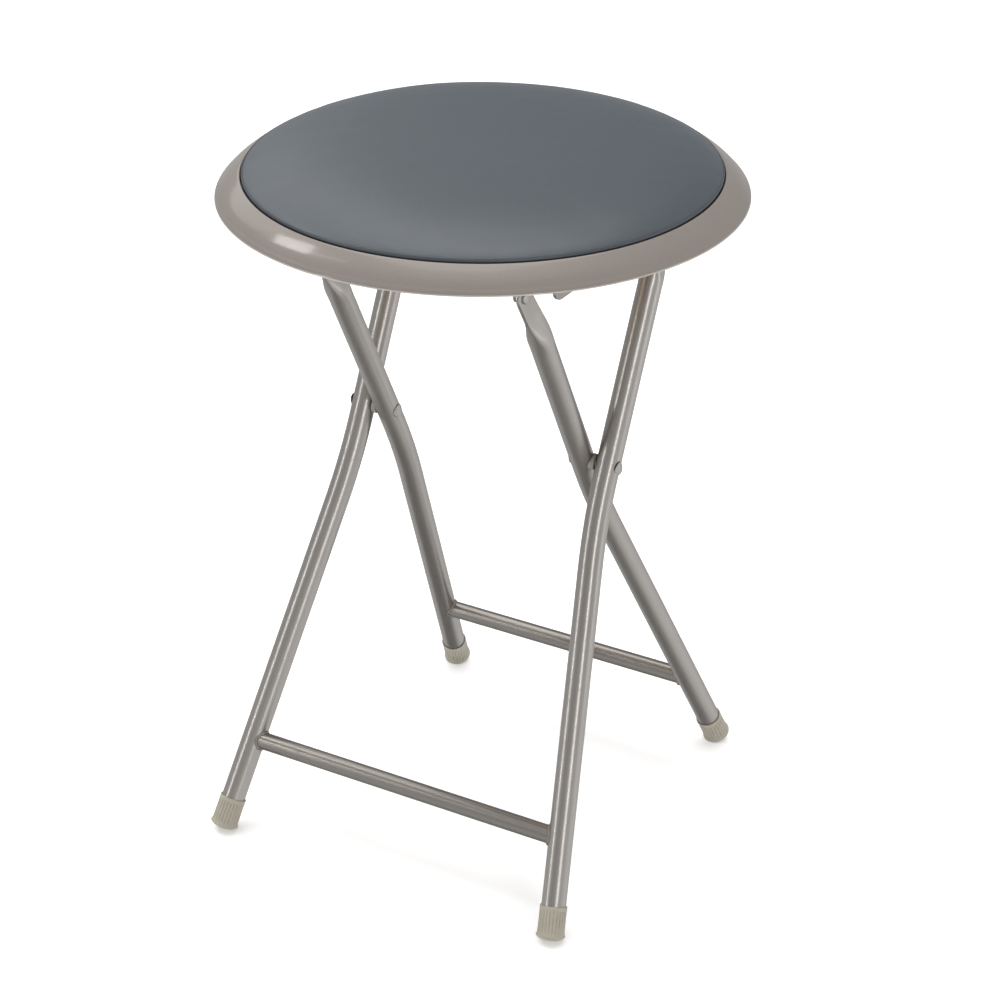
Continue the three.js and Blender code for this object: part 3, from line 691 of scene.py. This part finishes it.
def build_rod():
    inside = OUTER["x_top"] - FLAT / 2 - GAP
    outside = OUTER["x_top"] + FLAT / 2 + GAP
    half = [(4.0, 0.0), (4.0, inside - 0.5), (3.85, inside - 0.12), (3.6, inside), (3.0, inside), (3.0, outside)] + dome(4.8, 1.8, outside, 1)
    prof = [(r, -x) for r, x in half[::-1]] + half[1:]
    v, f = turned_x(prof, 64)
    v = v + np.array([0, 0, OUTER["end_at"]])
    piece("seat_support_rod_riveted", moved(v, frame_matrix(OUTER)), f, ROD, "outer_frame", ["seat_support_rod"], sharp=35)


# ------------------------------------------------------------------ brackets
BR_X0, BR_X1, BR_T = 66.9, 86.4, 2.0
BR_TOP, BR_BOTTOM = BOARD_Z0 - GAP, 396.2
SEAT_PER_FOLD = 2.3522


def turn_yz(y, z, a):
    return y * math.cos(a) - z * math.sin(a), y * math.sin(a) + z * math.cos(a)


def rod_in_seat(degrees):
    m_in, m_out = frame_matrix(INNER), frame_matrix(OUTER)
    hinge = m_in @ Vector((0, INNER["end_off"], INNER["end_at"]))
    rod = m_out @ Vector((0, 0, OUTER["end_at"]))
    a = math.radians(degrees)
    y, z = turn_yz(rod.y, rod.z - PIVOT_Z, a)
    y, z = turn_yz(y - hinge.y, z + PIVOT_Z - hinge.z, -SEAT_PER_FOLD * a)
    return y + hinge.y, z + hinge.z


def slot_sides():
    """The hook slot's outline in (y, z): from the bracket's lower edge up, round the rod and down again."""
    low, high = [], []
    for i in np.arange(0, 6.6, 0.3):
        y, z = rod_in_seat(i)
        y2, z2 = rod_in_seat(i + 0.05)
        d = math.hypot(y2 - y, z2 - z)
        wide = 4.4 + max(0.0, i - 3) * 0.35
        n = (-(z2 - z) / d, (y2 - y) / d)
        low.append((y + n[0] * wide, z + n[1] * wide))
        high.append((y - n[0] * wide, z - n[1] * wide))
    a, b = (low, high) if low[0][0] < high[0][0] else (high, low)

    def to_edge(points):
        kept = [p for p in points if p[1] > BR_BOTTOM + 0.4]
        nxt = next(p for p in points if p[1] <= BR_BOTTOM + 0.4)
        last = kept[-1]
        t = (last[1] - BR_BOTTOM) / (last[1] - nxt[1])
        kept.append((last[0] + (nxt[0] - last[0]) * t, BR_BOTTOM))
        return kept

    a, b = to_edge(a), to_edge(b)
    y, z = rod_in_seat(0)
    p0, p1 = np.array(a[0]) - (y, z), np.array(b[0]) - (y, z)
    a0, a1 = math.atan2(p0[1], p0[0]), math.atan2(p1[1], p1[0])
    while a1 > a0:
        a1 -= 2 * math.pi
    round_ = [(y + 4.4 * math.cos(t), z + 4.4 * math.sin(t)) for t in np.linspace(a0, a1, 17)[1:-1]]
    # the mouth's two corners are eased
    return a[::-1] + round_ + b


def build_bracket(word, side):
    rm = 1.6  # middle radius of the bends
    flange = (BR_TOP - 1.0 - rm) - BR_BOTTOM
    bend = rm * math.pi / 2
    web = (BR_X1 - 1.0 - rm) - (BR_X0 + 1.0 + rm)
    s1 = flange
    s2 = s1 + bend
    s3 = s2 + web
    s4 = s3 + bend
    s5 = s4 + flange
    slot = slot_sides()
    front_in, front_out, back, r = -79.0, -64.0, 85.1, 8.0

    def corner(cs, cy, a0, a1, n=14):
        return [(cs + r * math.cos(t), cy + r * math.sin(t)) for t in np.radians(np.linspace(a0, a1, n))]

    outline = []
    outline += corner(r, front_in + r, 180, 270)
    outline += [(s2 + 3.4, front_in), (s3, front_out - 2.6), (s4, front_out)]
    outline += corner(s5 - r, front_out + r, 270, 360)
    outline += [(s5 - (z - BR_BOTTOM), y) for y, z in slot]
    outline += corner(s5 - r, back - r, 0, 90)
    outline += corner(r, back - r, 90, 180)
    outline += [(z - BR_BOTTOM, y) for y, z in slot[::-1]]

    hinge = frame_matrix(INNER) @ Vector((0, INNER["end_off"], INNER["end_at"]))
    holes = [(hinge.z - BR_BOTTOM, hinge.y, 2.5)] + [(s2 + (76.65 - (BR_X0 + 1 + rm)), y, 2.2) for y in (-50, -14, 22, 56)]
    bm = bmesh.new()
    loops = [outline] + [[(cs + rr * math.cos(t), cy + rr * math.sin(t)) for t in np.linspace(0, 2 * math.pi, 28, endpoint=False)] for cs, cy, rr in holes]
    edges = []
    for lp in loops:
        vs = [bm.verts.new((s, y, 0)) for s, y in lp]
        edges += [bm.edges.new((vs[i], vs[(i + 1) % len(vs)])) for i in range(len(vs))]
    bmesh.ops.triangle_fill(bm, use_beauty=True, use_dissolve=False, edges=edges)
    for s in list(np.linspace(s1, s2, 9)) + list(np.linspace(s3, s4, 9)):
        geom = bm.verts[:] + bm.edges[:] + bm.faces[:]
        bmesh.ops.bisect_plane(bm, geom=geom, dist=1e-5, plane_co=(s, 0, 0), plane_no=(1, 0, 0))
    bmesh.ops.remove_doubles(bm, verts=bm.verts, dist=1e-4)
    bm.verts.index_update()
    flat = np.array([v.co[:] for v in bm.verts])
    tris = [tuple(v.index for v in f.verts) for f in bm.faces]
    border = [(e.verts[0].index, e.verts[1].index) for e in bm.edges if len(e.link_faces) == 1]
    bm.free()

    def folded(offset):
        out = np.zeros((len(flat), 3))
        for i, (s, y, _) in enumerate(flat):
            if s <= s1:
                p, n = (BR_X0 + 1.0, BR_BOTTOM + s), (-1.0, 0.0)
            elif s <= s2:
                a = (s - s1) / rm
                n = (-math.cos(a), math.sin(a))
                p = (BR_X0 + 1.0 + rm + rm * n[0], BR_TOP - 1.0 - rm + rm * n[1])
            elif s <= s3:
                p, n = (BR_X0 + 1.0 + rm + (s - s2), BR_TOP - 1.0), (0.0, 1.0)
            elif s <= s4:
                a = (s - s3) / rm
                n = (math.sin(a), math.cos(a))
                p = (BR_X1 - 1.0 - rm + rm * n[0], BR_TOP - 1.0 - rm + rm * n[1])
            else:
                p, n = (BR_X1 - 1.0, BR_BOTTOM + (s5 - s)), (1.0, 0.0)
            out[i] = (p[0] + n[0] * offset, y, p[1] + n[1] * offset)
        return out

    outer, inner = folded(1.0), folded(-1.0)
    n = len(flat)
    faces = tris + [tuple(i + n for i in t[::-1]) for t in tris] + [(a, b, b + n, a + n) for a, b in border]
    verts = np.vstack([outer, inner]) * np.array([side, 1, 1])
    return piece(f"seat_bracket_{word}_pressed", verts, faces, BRACKET, "seat", [f"seat_bracket_{word}"], sharp=30, bevel=0.3)


# -------------------------------------------------------------------- screws
def build_screw(name, x, y, top, head, radius, tip, turn):
    """A pan-head screw pointing up, with a cross recess in the head's lower face."""
    cols = 64
    th = np.linspace(0, 2 * math.pi, cols, endpoint=False)
    rings = []
    radii = list(np.linspace(0.12, radius - 0.9, 16)) + [radius - 0.6, radius - 0.34, radius - 0.14, radius - 0.03, radius]
    for r in radii:
        t = max(0.0, (r - (radius - 1.3)) / 1.3)
        z = -head * math.sqrt(max(0.0, 1 - t ** 2.2)) if t < 1 else 0.0
        z = min(z, -0.18) if r >= radius else z
        px, py = r * np.cos(th + turn), r * np.sin(th + turn)
        arm = np.maximum(np.clip((0.52 - np.abs(px)) / 0.22, 0, 1) * np.clip((2.0 - np.abs(py)) / 0.5, 0, 1),
                         np.clip((0.52 - np.abs(py)) / 0.22, 0, 1) * np.clip((2.0 - np.abs(px)) / 0.5, 0, 1))
        deep = arm * np.clip(1.25 - 0.35 * r, 0.2, 1.25)
        rings.append(np.c_[r * np.cos(th), r * np.sin(th), z + deep])
    n_head = len(rings)
    rings.append(np.c_[radius * np.cos(th), radius * np.sin(th), np.zeros(cols)])
    for r, z in [(2.0, 0.0)]:
        rings.append(np.c_[r * np.cos(th), r * np.sin(th), np.full(cols, z)])
    # a thread of 1.4 mm pitch
    for z in np.arange(0.2, tip - 1.6, 0.28):
        r = 1.72 + 0.18 * np.cos(2 * math.pi * z / 1.4 - th)
        rings.append(np.c_[r * np.cos(th), r * np.sin(th), np.full(cols, z)])
    rings.append(np.c_[1.5 * np.cos(th), 1.5 * np.sin(th), np.full(cols, tip - 1.4)])
    rings.append(np.c_[0.15 * np.cos(th), 0.15 * np.sin(th), np.full(cols, tip - 0.05)])
    verts, faces = loft(rings)
    verts, faces = cap(verts, faces, 0, cols, (0, 0, -head + 1.2))
    verts, faces = cap(verts, faces, (len(rings) - 1) * cols, cols, (0, 0, tip))
    verts = verts + np.array([x, y, top])
    return piece(name + "_cross", verts, faces, ZINC, "seat", [name], sharp=38)


# ----------------------------------------------------------------- the frame
for word, side in SIDES:
    build_leg(word, side, OUTER, "outer_frame")
    build_leg(word, side, INNER, "inner_frame")
    build_tip(word, side, OUTER, "outer_frame")
    build_tip(word, side, INNER, "inner_frame")
    build_bracket(word, side)
    top = BR_TOP - 2.0 - GAP
    for i, y in enumerate((-50, -14, 22, 56)):
        build_screw(f"bracket_screw_{word}_{i + 1}", side * 76.65, y, top, 2.0, 4.1, BOARD_Z1 - 1.8 - top, 0.35 + 1.3 * i + side)
build_bar(OUTER, "outer_frame")
build_bar(INNER, "inner_frame")
build_rivets()
build_rod()
for i, deg in enumerate((30, 150, 210, 330)):
    a = math.radians(deg)
    build_screw(f"rim_screw_{i + 1}", 136 * math.cos(a), 136 * math.sin(a), LEDGE_Z0 - GAP, 1.6, 3.8, BOARD_Z1 - 1.8 - LEDGE_Z0 + GAP, 0.2 + 0.9 * i)


# ----------------------------------------------------------------------- rim
def build_rim():
    outer = smooth_profile([(146.3, 441.08), (147.0, 440.72), (149.0, 439.35), (151.0, 437.9), (153.0, 436.35), (155.0, 434.62), (157.0, 432.6), (158.4, 431.05),
                            (159.3, 430.15), (160.0, 429.35), (160.5, 428.6), (160.8, 427.98)], 6)
    shoulder = [(SHOULDER_R, 440.6), (SHOULDER_R + 0.06, 440.86), (SHOULDER_R + 0.22, 441.05), (SHOULDER_R + 0.5, 441.16), (SHOULDER_R + 0.8, 441.15)]
    lip = [(160.88, 427.78), (RIM_R, 427.7), (160.8, 427.6), (160.3, RIM_Z0), (159.2, RIM_Z0), (158.75, 427.7), (158.3, 428.1)]
    skirt = smooth_profile([(157.8, 428.7), (156.4, 430.4), (154.4, 432.6), (152.4, 434.5), (150.4, 436.1), (148.6, 437.3)], 5)
    inner = [(147.75, 437.7), (147.45, 437.3), (147.4, 436.5), (147.4, LEDGE_Z0 + 0.5), (147.2, LEDGE_Z0 + 0.12), (146.8, LEDGE_Z0)]
    ledge = [(140.0, LEDGE_Z0), (132.0, LEDGE_Z0), (LEDGE_R + 0.3, LEDGE_Z0), (LEDGE_R + 0.08, LEDGE_Z0 + 0.1), (LEDGE_R, LEDGE_Z0 + 0.35),
             (LEDGE_R, LEDGE_Z1 - 0.35), (LEDGE_R + 0.3, LEDGE_Z1), (140.0, LEDGE_Z1), (SHOULDER_R - 0.1, LEDGE_Z1), (SHOULDER_R, LEDGE_Z1 + 0.2)]
    prof = outer + lip + skirt + inner + ledge + shoulder
    v, f = closed_lathe(prof, 320)
    return piece("seat_rim_shell", v, f, RIM, "seat", ["seat_rim"], sharp=40)


build_rim()


# ------------------------------------------------------------------- cushion
def crown_z(r):
    return SEAM_Z + CROWN * np.clip(1 - (np.asarray(r, float) / CUSHION_R) ** 5, 0, 1) ** 0.829


def simulated_unevenness():
    """Fills a slack vinyl skin with pressure over the foam and returns how its crown differs from a perfect turned one."""
    prof = [(0.0, SEAM_Z + 9.0)]
    for r in np.linspace(8, 142.0, 30):
        prof.append((r, SEAM_Z + 9.0 * (1 - (r / 142.6) ** 5) ** 0.829))
    prof += [(142.6, SEAM_Z - 1), (142.6, 434.0), (120.0, 433.0), (60.0, 433.0), (0.0, 433.0)]
    v, f = lathe(prof, 96)
    # the foam under the skin is never quite even
    r, a = np.hypot(v[:, 0], v[:, 1]), np.arctan2(v[:, 1], v[:, 0])
    lump = 0.5 * np.sin(2 * a + 0.7) * (r / 142) + 0.4 * np.sin(3 * a - 1.1 + r / 60) * (r / 142) + 0.3 * np.sin(5 * a + 2.2) * (r / 142) ** 2
    v[:, 2] += np.where(v[:, 2] > SEAM_Z, lump, 0)
    me = bpy.data.meshes.new("skin")
    me.from_pydata((v * MM).tolist(), [], [list(x) for x in f])
    skin = bpy.data.objects.new("skin", me)
    bpy.context.scene.collection.objects.link(skin)
    mod = skin.modifiers.new("voxels", "REMESH")
    mod.mode = "VOXEL"
    mod.voxel_size = 5 * MM
    dg = bpy.context.evaluated_depsgraph_get()
    me2 = bpy.data.meshes.new_from_object(skin.evaluated_get(dg))
    skin.modifiers.clear()
    skin.data = me2
    group = skin.vertex_groups.new(name="held")
    for vert in me2.vertices:
        rr = math.hypot(vert.co.x, vert.co.y) / MM
        w = 1.0 if vert.co.z / MM < 441.5 or rr > 140 else 0.0
        if w:
            group.add([vert.index], w, "REPLACE")
    cloth = skin.modifiers.new("cloth", "CLOTH")
    cs = cloth.settings
    cs.quality = 6
    cs.mass = 0.25
    cs.tension_stiffness = 12
    cs.compression_stiffness = 12
    cs.shear_stiffness = 4
    cs.bending_stiffness = 0.6
    cs.use_pressure = True
    cs.uniform_pressure_force = 4
    cs.vertex_group_mass = "held"
    cs.pin_stiffness = 1.0
    cs.effector_weights.gravity = 0
    cloth.point_cache.frame_start = 1
    cloth.point_cache.frame_end = 20
    scene = bpy.context.scene
    for fr in range(1, 21):
        scene.frame_set(fr)
    dg = bpy.context.evaluated_depsgraph_get()
    done = bpy.data.meshes.new_from_object(skin.evaluated_get(dg))
    scene.frame_set(1)
    verts = [vv.co.copy() for vv in done.vertices]
    tree = BVHTree.FromPolygons(verts, [tuple(p.vertices) for p in done.polygons])
    bpy.data.objects.remove(skin)
    return tree


def build_cushion():
    cols = 256
    radii = np.concatenate([[0.0], np.linspace(2.5, 118, 56), 118 + (CUSHION_R - 118) * np.sin(np.linspace(0, math.pi / 2, 44)[1:])])
    th = np.linspace(0, 2 * math.pi, cols, endpoint=False)
    dev = np.zeros((len(radii), cols))
    tree = simulated_unevenness()
    for i, r in enumerate(radii):
        if r > 139 or r < 1:
            continue
        for j in range(0, cols, 4):
            hit = tree.ray_cast(Vector((r * math.cos(th[j]) * MM, r * math.sin(th[j]) * MM, 0.6)), Vector((0, 0, -1)))
            dev[i, j] = (hit[0].z / MM) if hit[0] is not None else np.nan
        row = dev[i, ::4]
        row = np.where(np.isnan(row), np.nanmean(row), row)
        row = row - row.mean()
        dev[i] = np.interp(np.arange(cols), np.arange(0, cols + 1, 4), np.append(row, row[0]))
    # even it out along and across, and cap it
    for _ in range(6):
        dev = (np.roll(dev, 1, 1) + dev * 2 + np.roll(dev, -1, 1)) / 4
        dev[1:-1] = (dev[:-2] + dev[1:-1] * 2 + dev[2:]) / 4
    fade = np.clip((141 - radii) / 12, 0, 1) * np.clip(radii / 30, 0, 1)
    dev = np.clip(dev * 0.5, -0.55, 0.55) * fade[:, None]
    ripple = 0.05 * np.sin(61 * th + 1.3 * np.sin(5 * th)) + 0.05 * np.sin(37 * th + 2 + 1.7 * np.sin(3 * th))
    rings = []
    for i, r in enumerate(radii[1:-1], 1):
        z = crown_z(r) + dev[i]
        near = math.exp(-((r - 140.5) / 3.0) ** 2)
        z = z + ripple * near
        rings.append(np.c_[r * np.cos(th), r * np.sin(th), z])
    for r, z in [(144.0, 442.95), (144.25, 442.6), (144.42, 442.2), (144.48, 441.8), (144.4, 441.35), (144.15, 440.8)]:
        rings.append(np.c_[r * np.cos(th), r * np.sin(th), z + 0.5 * ripple])
    # down into the gap beside the rim and in under the board, with pleats
    pleat = np.abs(np.sin(24 * th + 0.9 * np.sin(3 * th))) ** 3
    for r, z, p in [(143.9, 440.2, 0), (143.8, 439.0, 0), (143.8, 437.0, 0), (143.75, 434.8, 0.05), (143.5, 433.6, 0.1), (142.9, 432.7, 0.2), (141.8, 432.35, 0.3),
                    (139.5, 432.3, 0.35), (136.0, 432.3, 0.35), (132.0, 432.3, 0.3), (129.0, 432.3, 0.3), (127.6, 432.25, 0.6), (126.0, 432.2, 0.9), (124.6, 432.15, 1.0)]:
        rings.append(np.c_[r * np.cos(th), r * np.sin(th), np.full(cols, z) + 0.0 * p])
    edge = TURN_IN_R + 0.35 * np.sin(7 * th + 1) + 0.3 * np.sin(17 * th) - 0.5 * pleat
    for off, z in ((0.0, 432.25), (-0.1, 432.7), (0.0, 433.2)):
        e = edge + off
        lump = -0.45 * pleat if z < 432.5 else 0
        rings.append(np.c_[e * np.cos(th), e * np.sin(th), np.full(cols, z) + lump])
    for r, z in [(127.0, 433.3), (135.0, 433.3), (141.9, 433.3), (142.55, 433.9), (142.8, 435.0), (142.8, 439.0), (142.8, SEAM_Z - 0.5)]:
        rings.append(np.c_[r * np.cos(th), r * np.sin(th), np.full(cols, z)])
    inner_r = np.concatenate([CUSHION_R - COVER_T - (CUSHION_R - 118) * (1 - np.cos(np.linspace(0, math.pi / 2, 14)))[1:], np.linspace(112, 6, 14)])
    for r in inner_r:
        k = min(1.0, r / (CUSHION_R - COVER_T))
        z = SEAM_Z - 0.5 + (CROWN - COVER_T + 0.5) * max(0.0, 1 - k ** 5) ** 0.86
        rings.append(np.c_[r * np.cos(th), r * np.sin(th), np.full(cols, z)])
    verts, faces = loft(rings)
    verts, faces = cap(verts, faces, 0, cols, (0, 0, crown_z(0.0)))
    verts, faces = cap(verts, faces, (len(rings) - 1) * cols, cols, (0, 0, SEAM_Z + CROWN - COVER_T))
    cover = piece("cushion_cover_vinyl", verts, faces, VINYL, "seat", ["cushion_cover"], sharp=60)

    # the pad itself
    prof = [(0.0, BOARD_Z1 + GAP), (70.0, BOARD_Z1 + GAP), (139.9, BOARD_Z1 + GAP), (140.5, BOARD_Z1 + GAP + 0.25), (140.7, BOARD_Z1 + GAP + 0.6)]
    for r in np.linspace(140.4, 1.0, 70):
        prof.append((r, float(crown_z(r)) - (COVER_T + GAP + 0.2) * math.sqrt(1 + (0.75 * (r / 143) ** 5) ** 2)))
    prof.append((0.0, SEAM_Z + CROWN - COVER_T - GAP))
    v, f = lathe(prof, 128)
    pad = piece("cushion_foam_pad", v, f, FOAM, "seat", ["cushion_foam"], sharp=50)

    # the board, its edges eased
    prof = [(0.0, BOARD_Z0), (60.0, BOARD_Z0), (120.0, BOARD_Z0), (BOARD_R - 0.7, BOARD_Z0), (BOARD_R - 0.2, BOARD_Z0 + 0.2), (BOARD_R, BOARD_Z0 + 0.7),
            (BOARD_R, BOARD_Z1 - 0.7), (BOARD_R - 0.2, BOARD_Z1 - 0.2), (BOARD_R - 0.7, BOARD_Z1), (60.0, BOARD_Z1), (0.0, BOARD_Z1)]
    v, f = lathe(prof, 192)
    piece("seat_board_ply", v, f, PLY, "seat", ["seat_board"], sharp=35)

    # wire staples that hold the turned-in edge
    parts = []
    for k in range(28):
        a = 2 * math.pi * (k + 0.5) / 28 + float(rng.uniform(-0.02, 0.02))
        if any(abs(math.atan2(math.sin(a - math.radians(d)), math.cos(a - math.radians(d)))) < 0.02 for d in (0,)):
            continue
        skew = float(rng.uniform(-0.12, 0.12))
        half, wire = 4.2, 0.32
        path = [(-half, 1.6), (-half, 0.35), (-half + 0.12, 0.1), (-half + 0.4, 0.0), (half - 0.4, 0.0), (half - 0.12, 0.1), (half, 0.35), (half, 1.6)]
        rings = []
        for i, (u, w) in enumerate(path):
            p0, p1 = path[max(0, i - 1)], path[min(len(path) - 1, i + 1)]
            t = np.array([p1[0] - p0[0], p1[1] - p0[1]])
            t = t / np.linalg.norm(t)
            ring = []
            for q in range(8):
                c, s_ = math.cos(q * math.pi / 4) * wire, math.sin(q * math.pi / 4) * wire * 1.5
                ring.append((u - t[1] * c, s_, w + t[0] * c))
            rings.append(np.array(ring))
        v, f = loft(rings)
        v, f = cap(v, f, 0, 8, rings[0].mean(0))
        v, f = cap(v, f, (len(rings) - 1) * 8, 8, rings[-1].mean(0))
        m = Matrix.Translation((125.4 * math.cos(a), 125.4 * math.sin(a), 431.7)) @ Matrix.Rotation(a + math.pi / 2 + skew, 4, "Z")
        parts.append((moved(v, m), f))
    v, f = merged(parts)
    piece("cover_staples", v, f, STAPLE, "seat", (), sharp=40)


build_cushion()


# -------------------------------------------------------------------- studio
def plane(name, size, location):
    me = bpy.data.meshes.new(name)
    s = size / 2
    me.from_pydata([(-s, -s, 0), (s, -s, 0), (s, s, 0), (-s, s, 0)], [], [(0, 1, 2, 3)])
    ob = bpy.data.objects.new(name, me)
    ob.location = location
    bpy.context.scene.collection.objects.link(ob)
    return ob


floor = plane("studio_floor", 24.0, (0, 0, -0.0001))
floor.data.materials.append(floor_white())


def area(name, azimuth, elevation, distance, width, height, power, aim=(0, 0, 0.25), along=None):
    """A soft box seen from the object at an azimuth from the front and an elevation. along turns its width that way."""
    light = bpy.data.lights.new(name, "AREA")
    light.shape = "ELLIPSE" if width > 1 else "RECTANGLE"
    light.size, light.size_y = width, height
    light.energy = power
    ob = bpy.data.objects.new(name, light)
    a, e = math.radians(azimuth), math.radians(elevation)
    way = Vector((math.sin(a) * math.cos(e), -math.cos(a) * math.cos(e), math.sin(e)))
    aim = Vector(aim)
    ob.location = aim + way * distance
    ob.rotation_mode = "QUATERNION"
    if along is None:
        ob.rotation_quaternion = way.to_track_quat("Z", "Y")
    else:
        x = Vector(along) - way * way.dot(Vector(along))
        x.normalize()
        y = way.cross(x)
        ob.rotation_quaternion = Matrix((x, y, way)).transposed().to_quaternion()
    bpy.context.scene.collection.objects.link(ob)
    return ob


area("soft_box", -138, 76, 2.0, 1.7, 1.7, 14.0)
area("box_back_left", -118, 34, 2.0, 1.6, 1.6, 6.6, aim=(0, 0, 0.4))
area("strip_left", -38, 14, 1.9, 0.14, 1.5, 4.6)
area("strip_right", 52, 12, 1.9, 0.20, 1.5, 5.4)
area("strip_far_right", 112, 10, 1.9, 0.4, 1.2, 2.4)
# the long window that the rim's shoulder mirrors, and its brighter end
area("window_bright", -79, 41, 1.7, 0.42, 0.27, 3.4, aim=(0, 0, 0.44), along=(0.51, -0.265, 0.28))
area("window", -70, 48, 1.7, 0.6, 0.07, 0.34, aim=(0, 0, 0.44), along=(0.51, -0.265, 0.28))

# A broad sun lifts the floor to white; it isn't mirrored in the steel.
sun = bpy.data.lights.new("sky", "SUN")
sun.energy = 1.5
sun.angle = math.radians(75)
sun_ob = bpy.data.objects.new("sky", sun)
sun_ob.rotation_euler = (math.radians(-8), math.radians(-10), 0)
sun_ob.visible_glossy = False
bpy.context.scene.collection.objects.link(sun_ob)

# What the steel mirrors: a grey room, a pale floor further off and the stool's own shade below.
floor.visible_glossy = False
world = bpy.data.worlds.new("studio")
bpy.context.scene.world = world
world.use_nodes = True
wt = world.node_tree
bg = wt.nodes["Background"]
geo = wt.nodes.new("ShaderNodeTexCoord")
sep = wt.nodes.new("ShaderNodeSeparateXYZ")
wt.links.new(geo.outputs["Generated"], sep.inputs[0])
height = wt.nodes.new("ShaderNodeMapRange")
for key, v in zip(("From Min", "From Max", "To Min", "To Max"), (-1.0, 1.0, 0.0, 1.0)):
    height.inputs[key].default_value = v
wt.links.new(sep.outputs["Z"], height.inputs["Value"])
wr = wt.nodes.new("ShaderNodeValToRGB")
stops = [(0.0, 0.16), (0.035, 0.20), (0.085, 0.70), (0.2, 0.90), (0.40, 0.90), (0.49, 0.70), (0.54, 0.54), (0.74, 0.40), (0.88, 0.50), (0.94, 0.62), (1.0, 1.4)]
while len(wr.color_ramp.elements) < len(stops):
    wr.color_ramp.elements.new(0.5)
for e, (at, v) in zip(wr.color_ramp.elements, stops):
    e.position = at
    e.color = (v, v, v * 1.01, 1)
wt.links.new(height.outputs["Result"], wr.inputs["Fac"])
across = wt.nodes.new("ShaderNodeVectorMath")
across.operation = "DOT_PRODUCT"
across.inputs[1].default_value = (0.862, 0.507, 0.0)
wt.links.new(geo.outputs["Generated"], across.inputs[0])
tilt = wt.nodes.new("ShaderNodeMapRange")
for key, v in zip(("From Min", "From Max", "To Min", "To Max"), (-1.0, 1.0, 0.75, 1.06)):
    tilt.inputs[key].default_value = v
wt.links.new(across.outputs["Value"], tilt.inputs["Value"])
wt.links.new(wr.outputs["Color"], bg.inputs["Color"])
behind = wt.nodes.new("ShaderNodeVectorMath")
behind.operation = "DOT_PRODUCT"
behind.inputs[1].default_value = (-0.507, 0.862, 0.0)
wt.links.new(geo.outputs["Generated"], behind.inputs[0])
far_wall = wt.nodes.new("ShaderNodeMapRange")
for key, v in zip(("From Min", "From Max", "To Min", "To Max"), (0.3, 0.85, 1.0, 0.60)):
    far_wall.inputs[key].default_value = v
wt.links.new(behind.outputs["Value"], far_wall.inputs["Value"])
level = wt.nodes.new("ShaderNodeMath")
level.operation = "MULTIPLY"
wt.links.new(tilt.outputs["Result"], level.inputs[0])
wt.links.new(far_wall.outputs["Result"], level.inputs[1])
wt.links.new(level.outputs[0], bg.inputs["Strength"])

# camera: fitted to the picture's framing, 1000 x 1000
cam = bpy.data.cameras.new("camera")
cam.sensor_width = 36.0
cam.lens = 107.02
cam_ob = bpy.data.objects.new("camera", cam)
bpy.context.scene.collection.objects.link(cam_ob)
cam_ob.location = (0.8548, -1.4335, 1.0896)
cam_ob.rotation_euler = (math.radians(62.4), 0.0, math.radians(30.456))
cam.clip_end = 60
bpy.context.scene.camera = cam_ob

view = bpy.context.scene.view_settings
view.view_transform = "Standard"
view.look = "None"
view.exposure = 0.0
view.gamma = 1.0
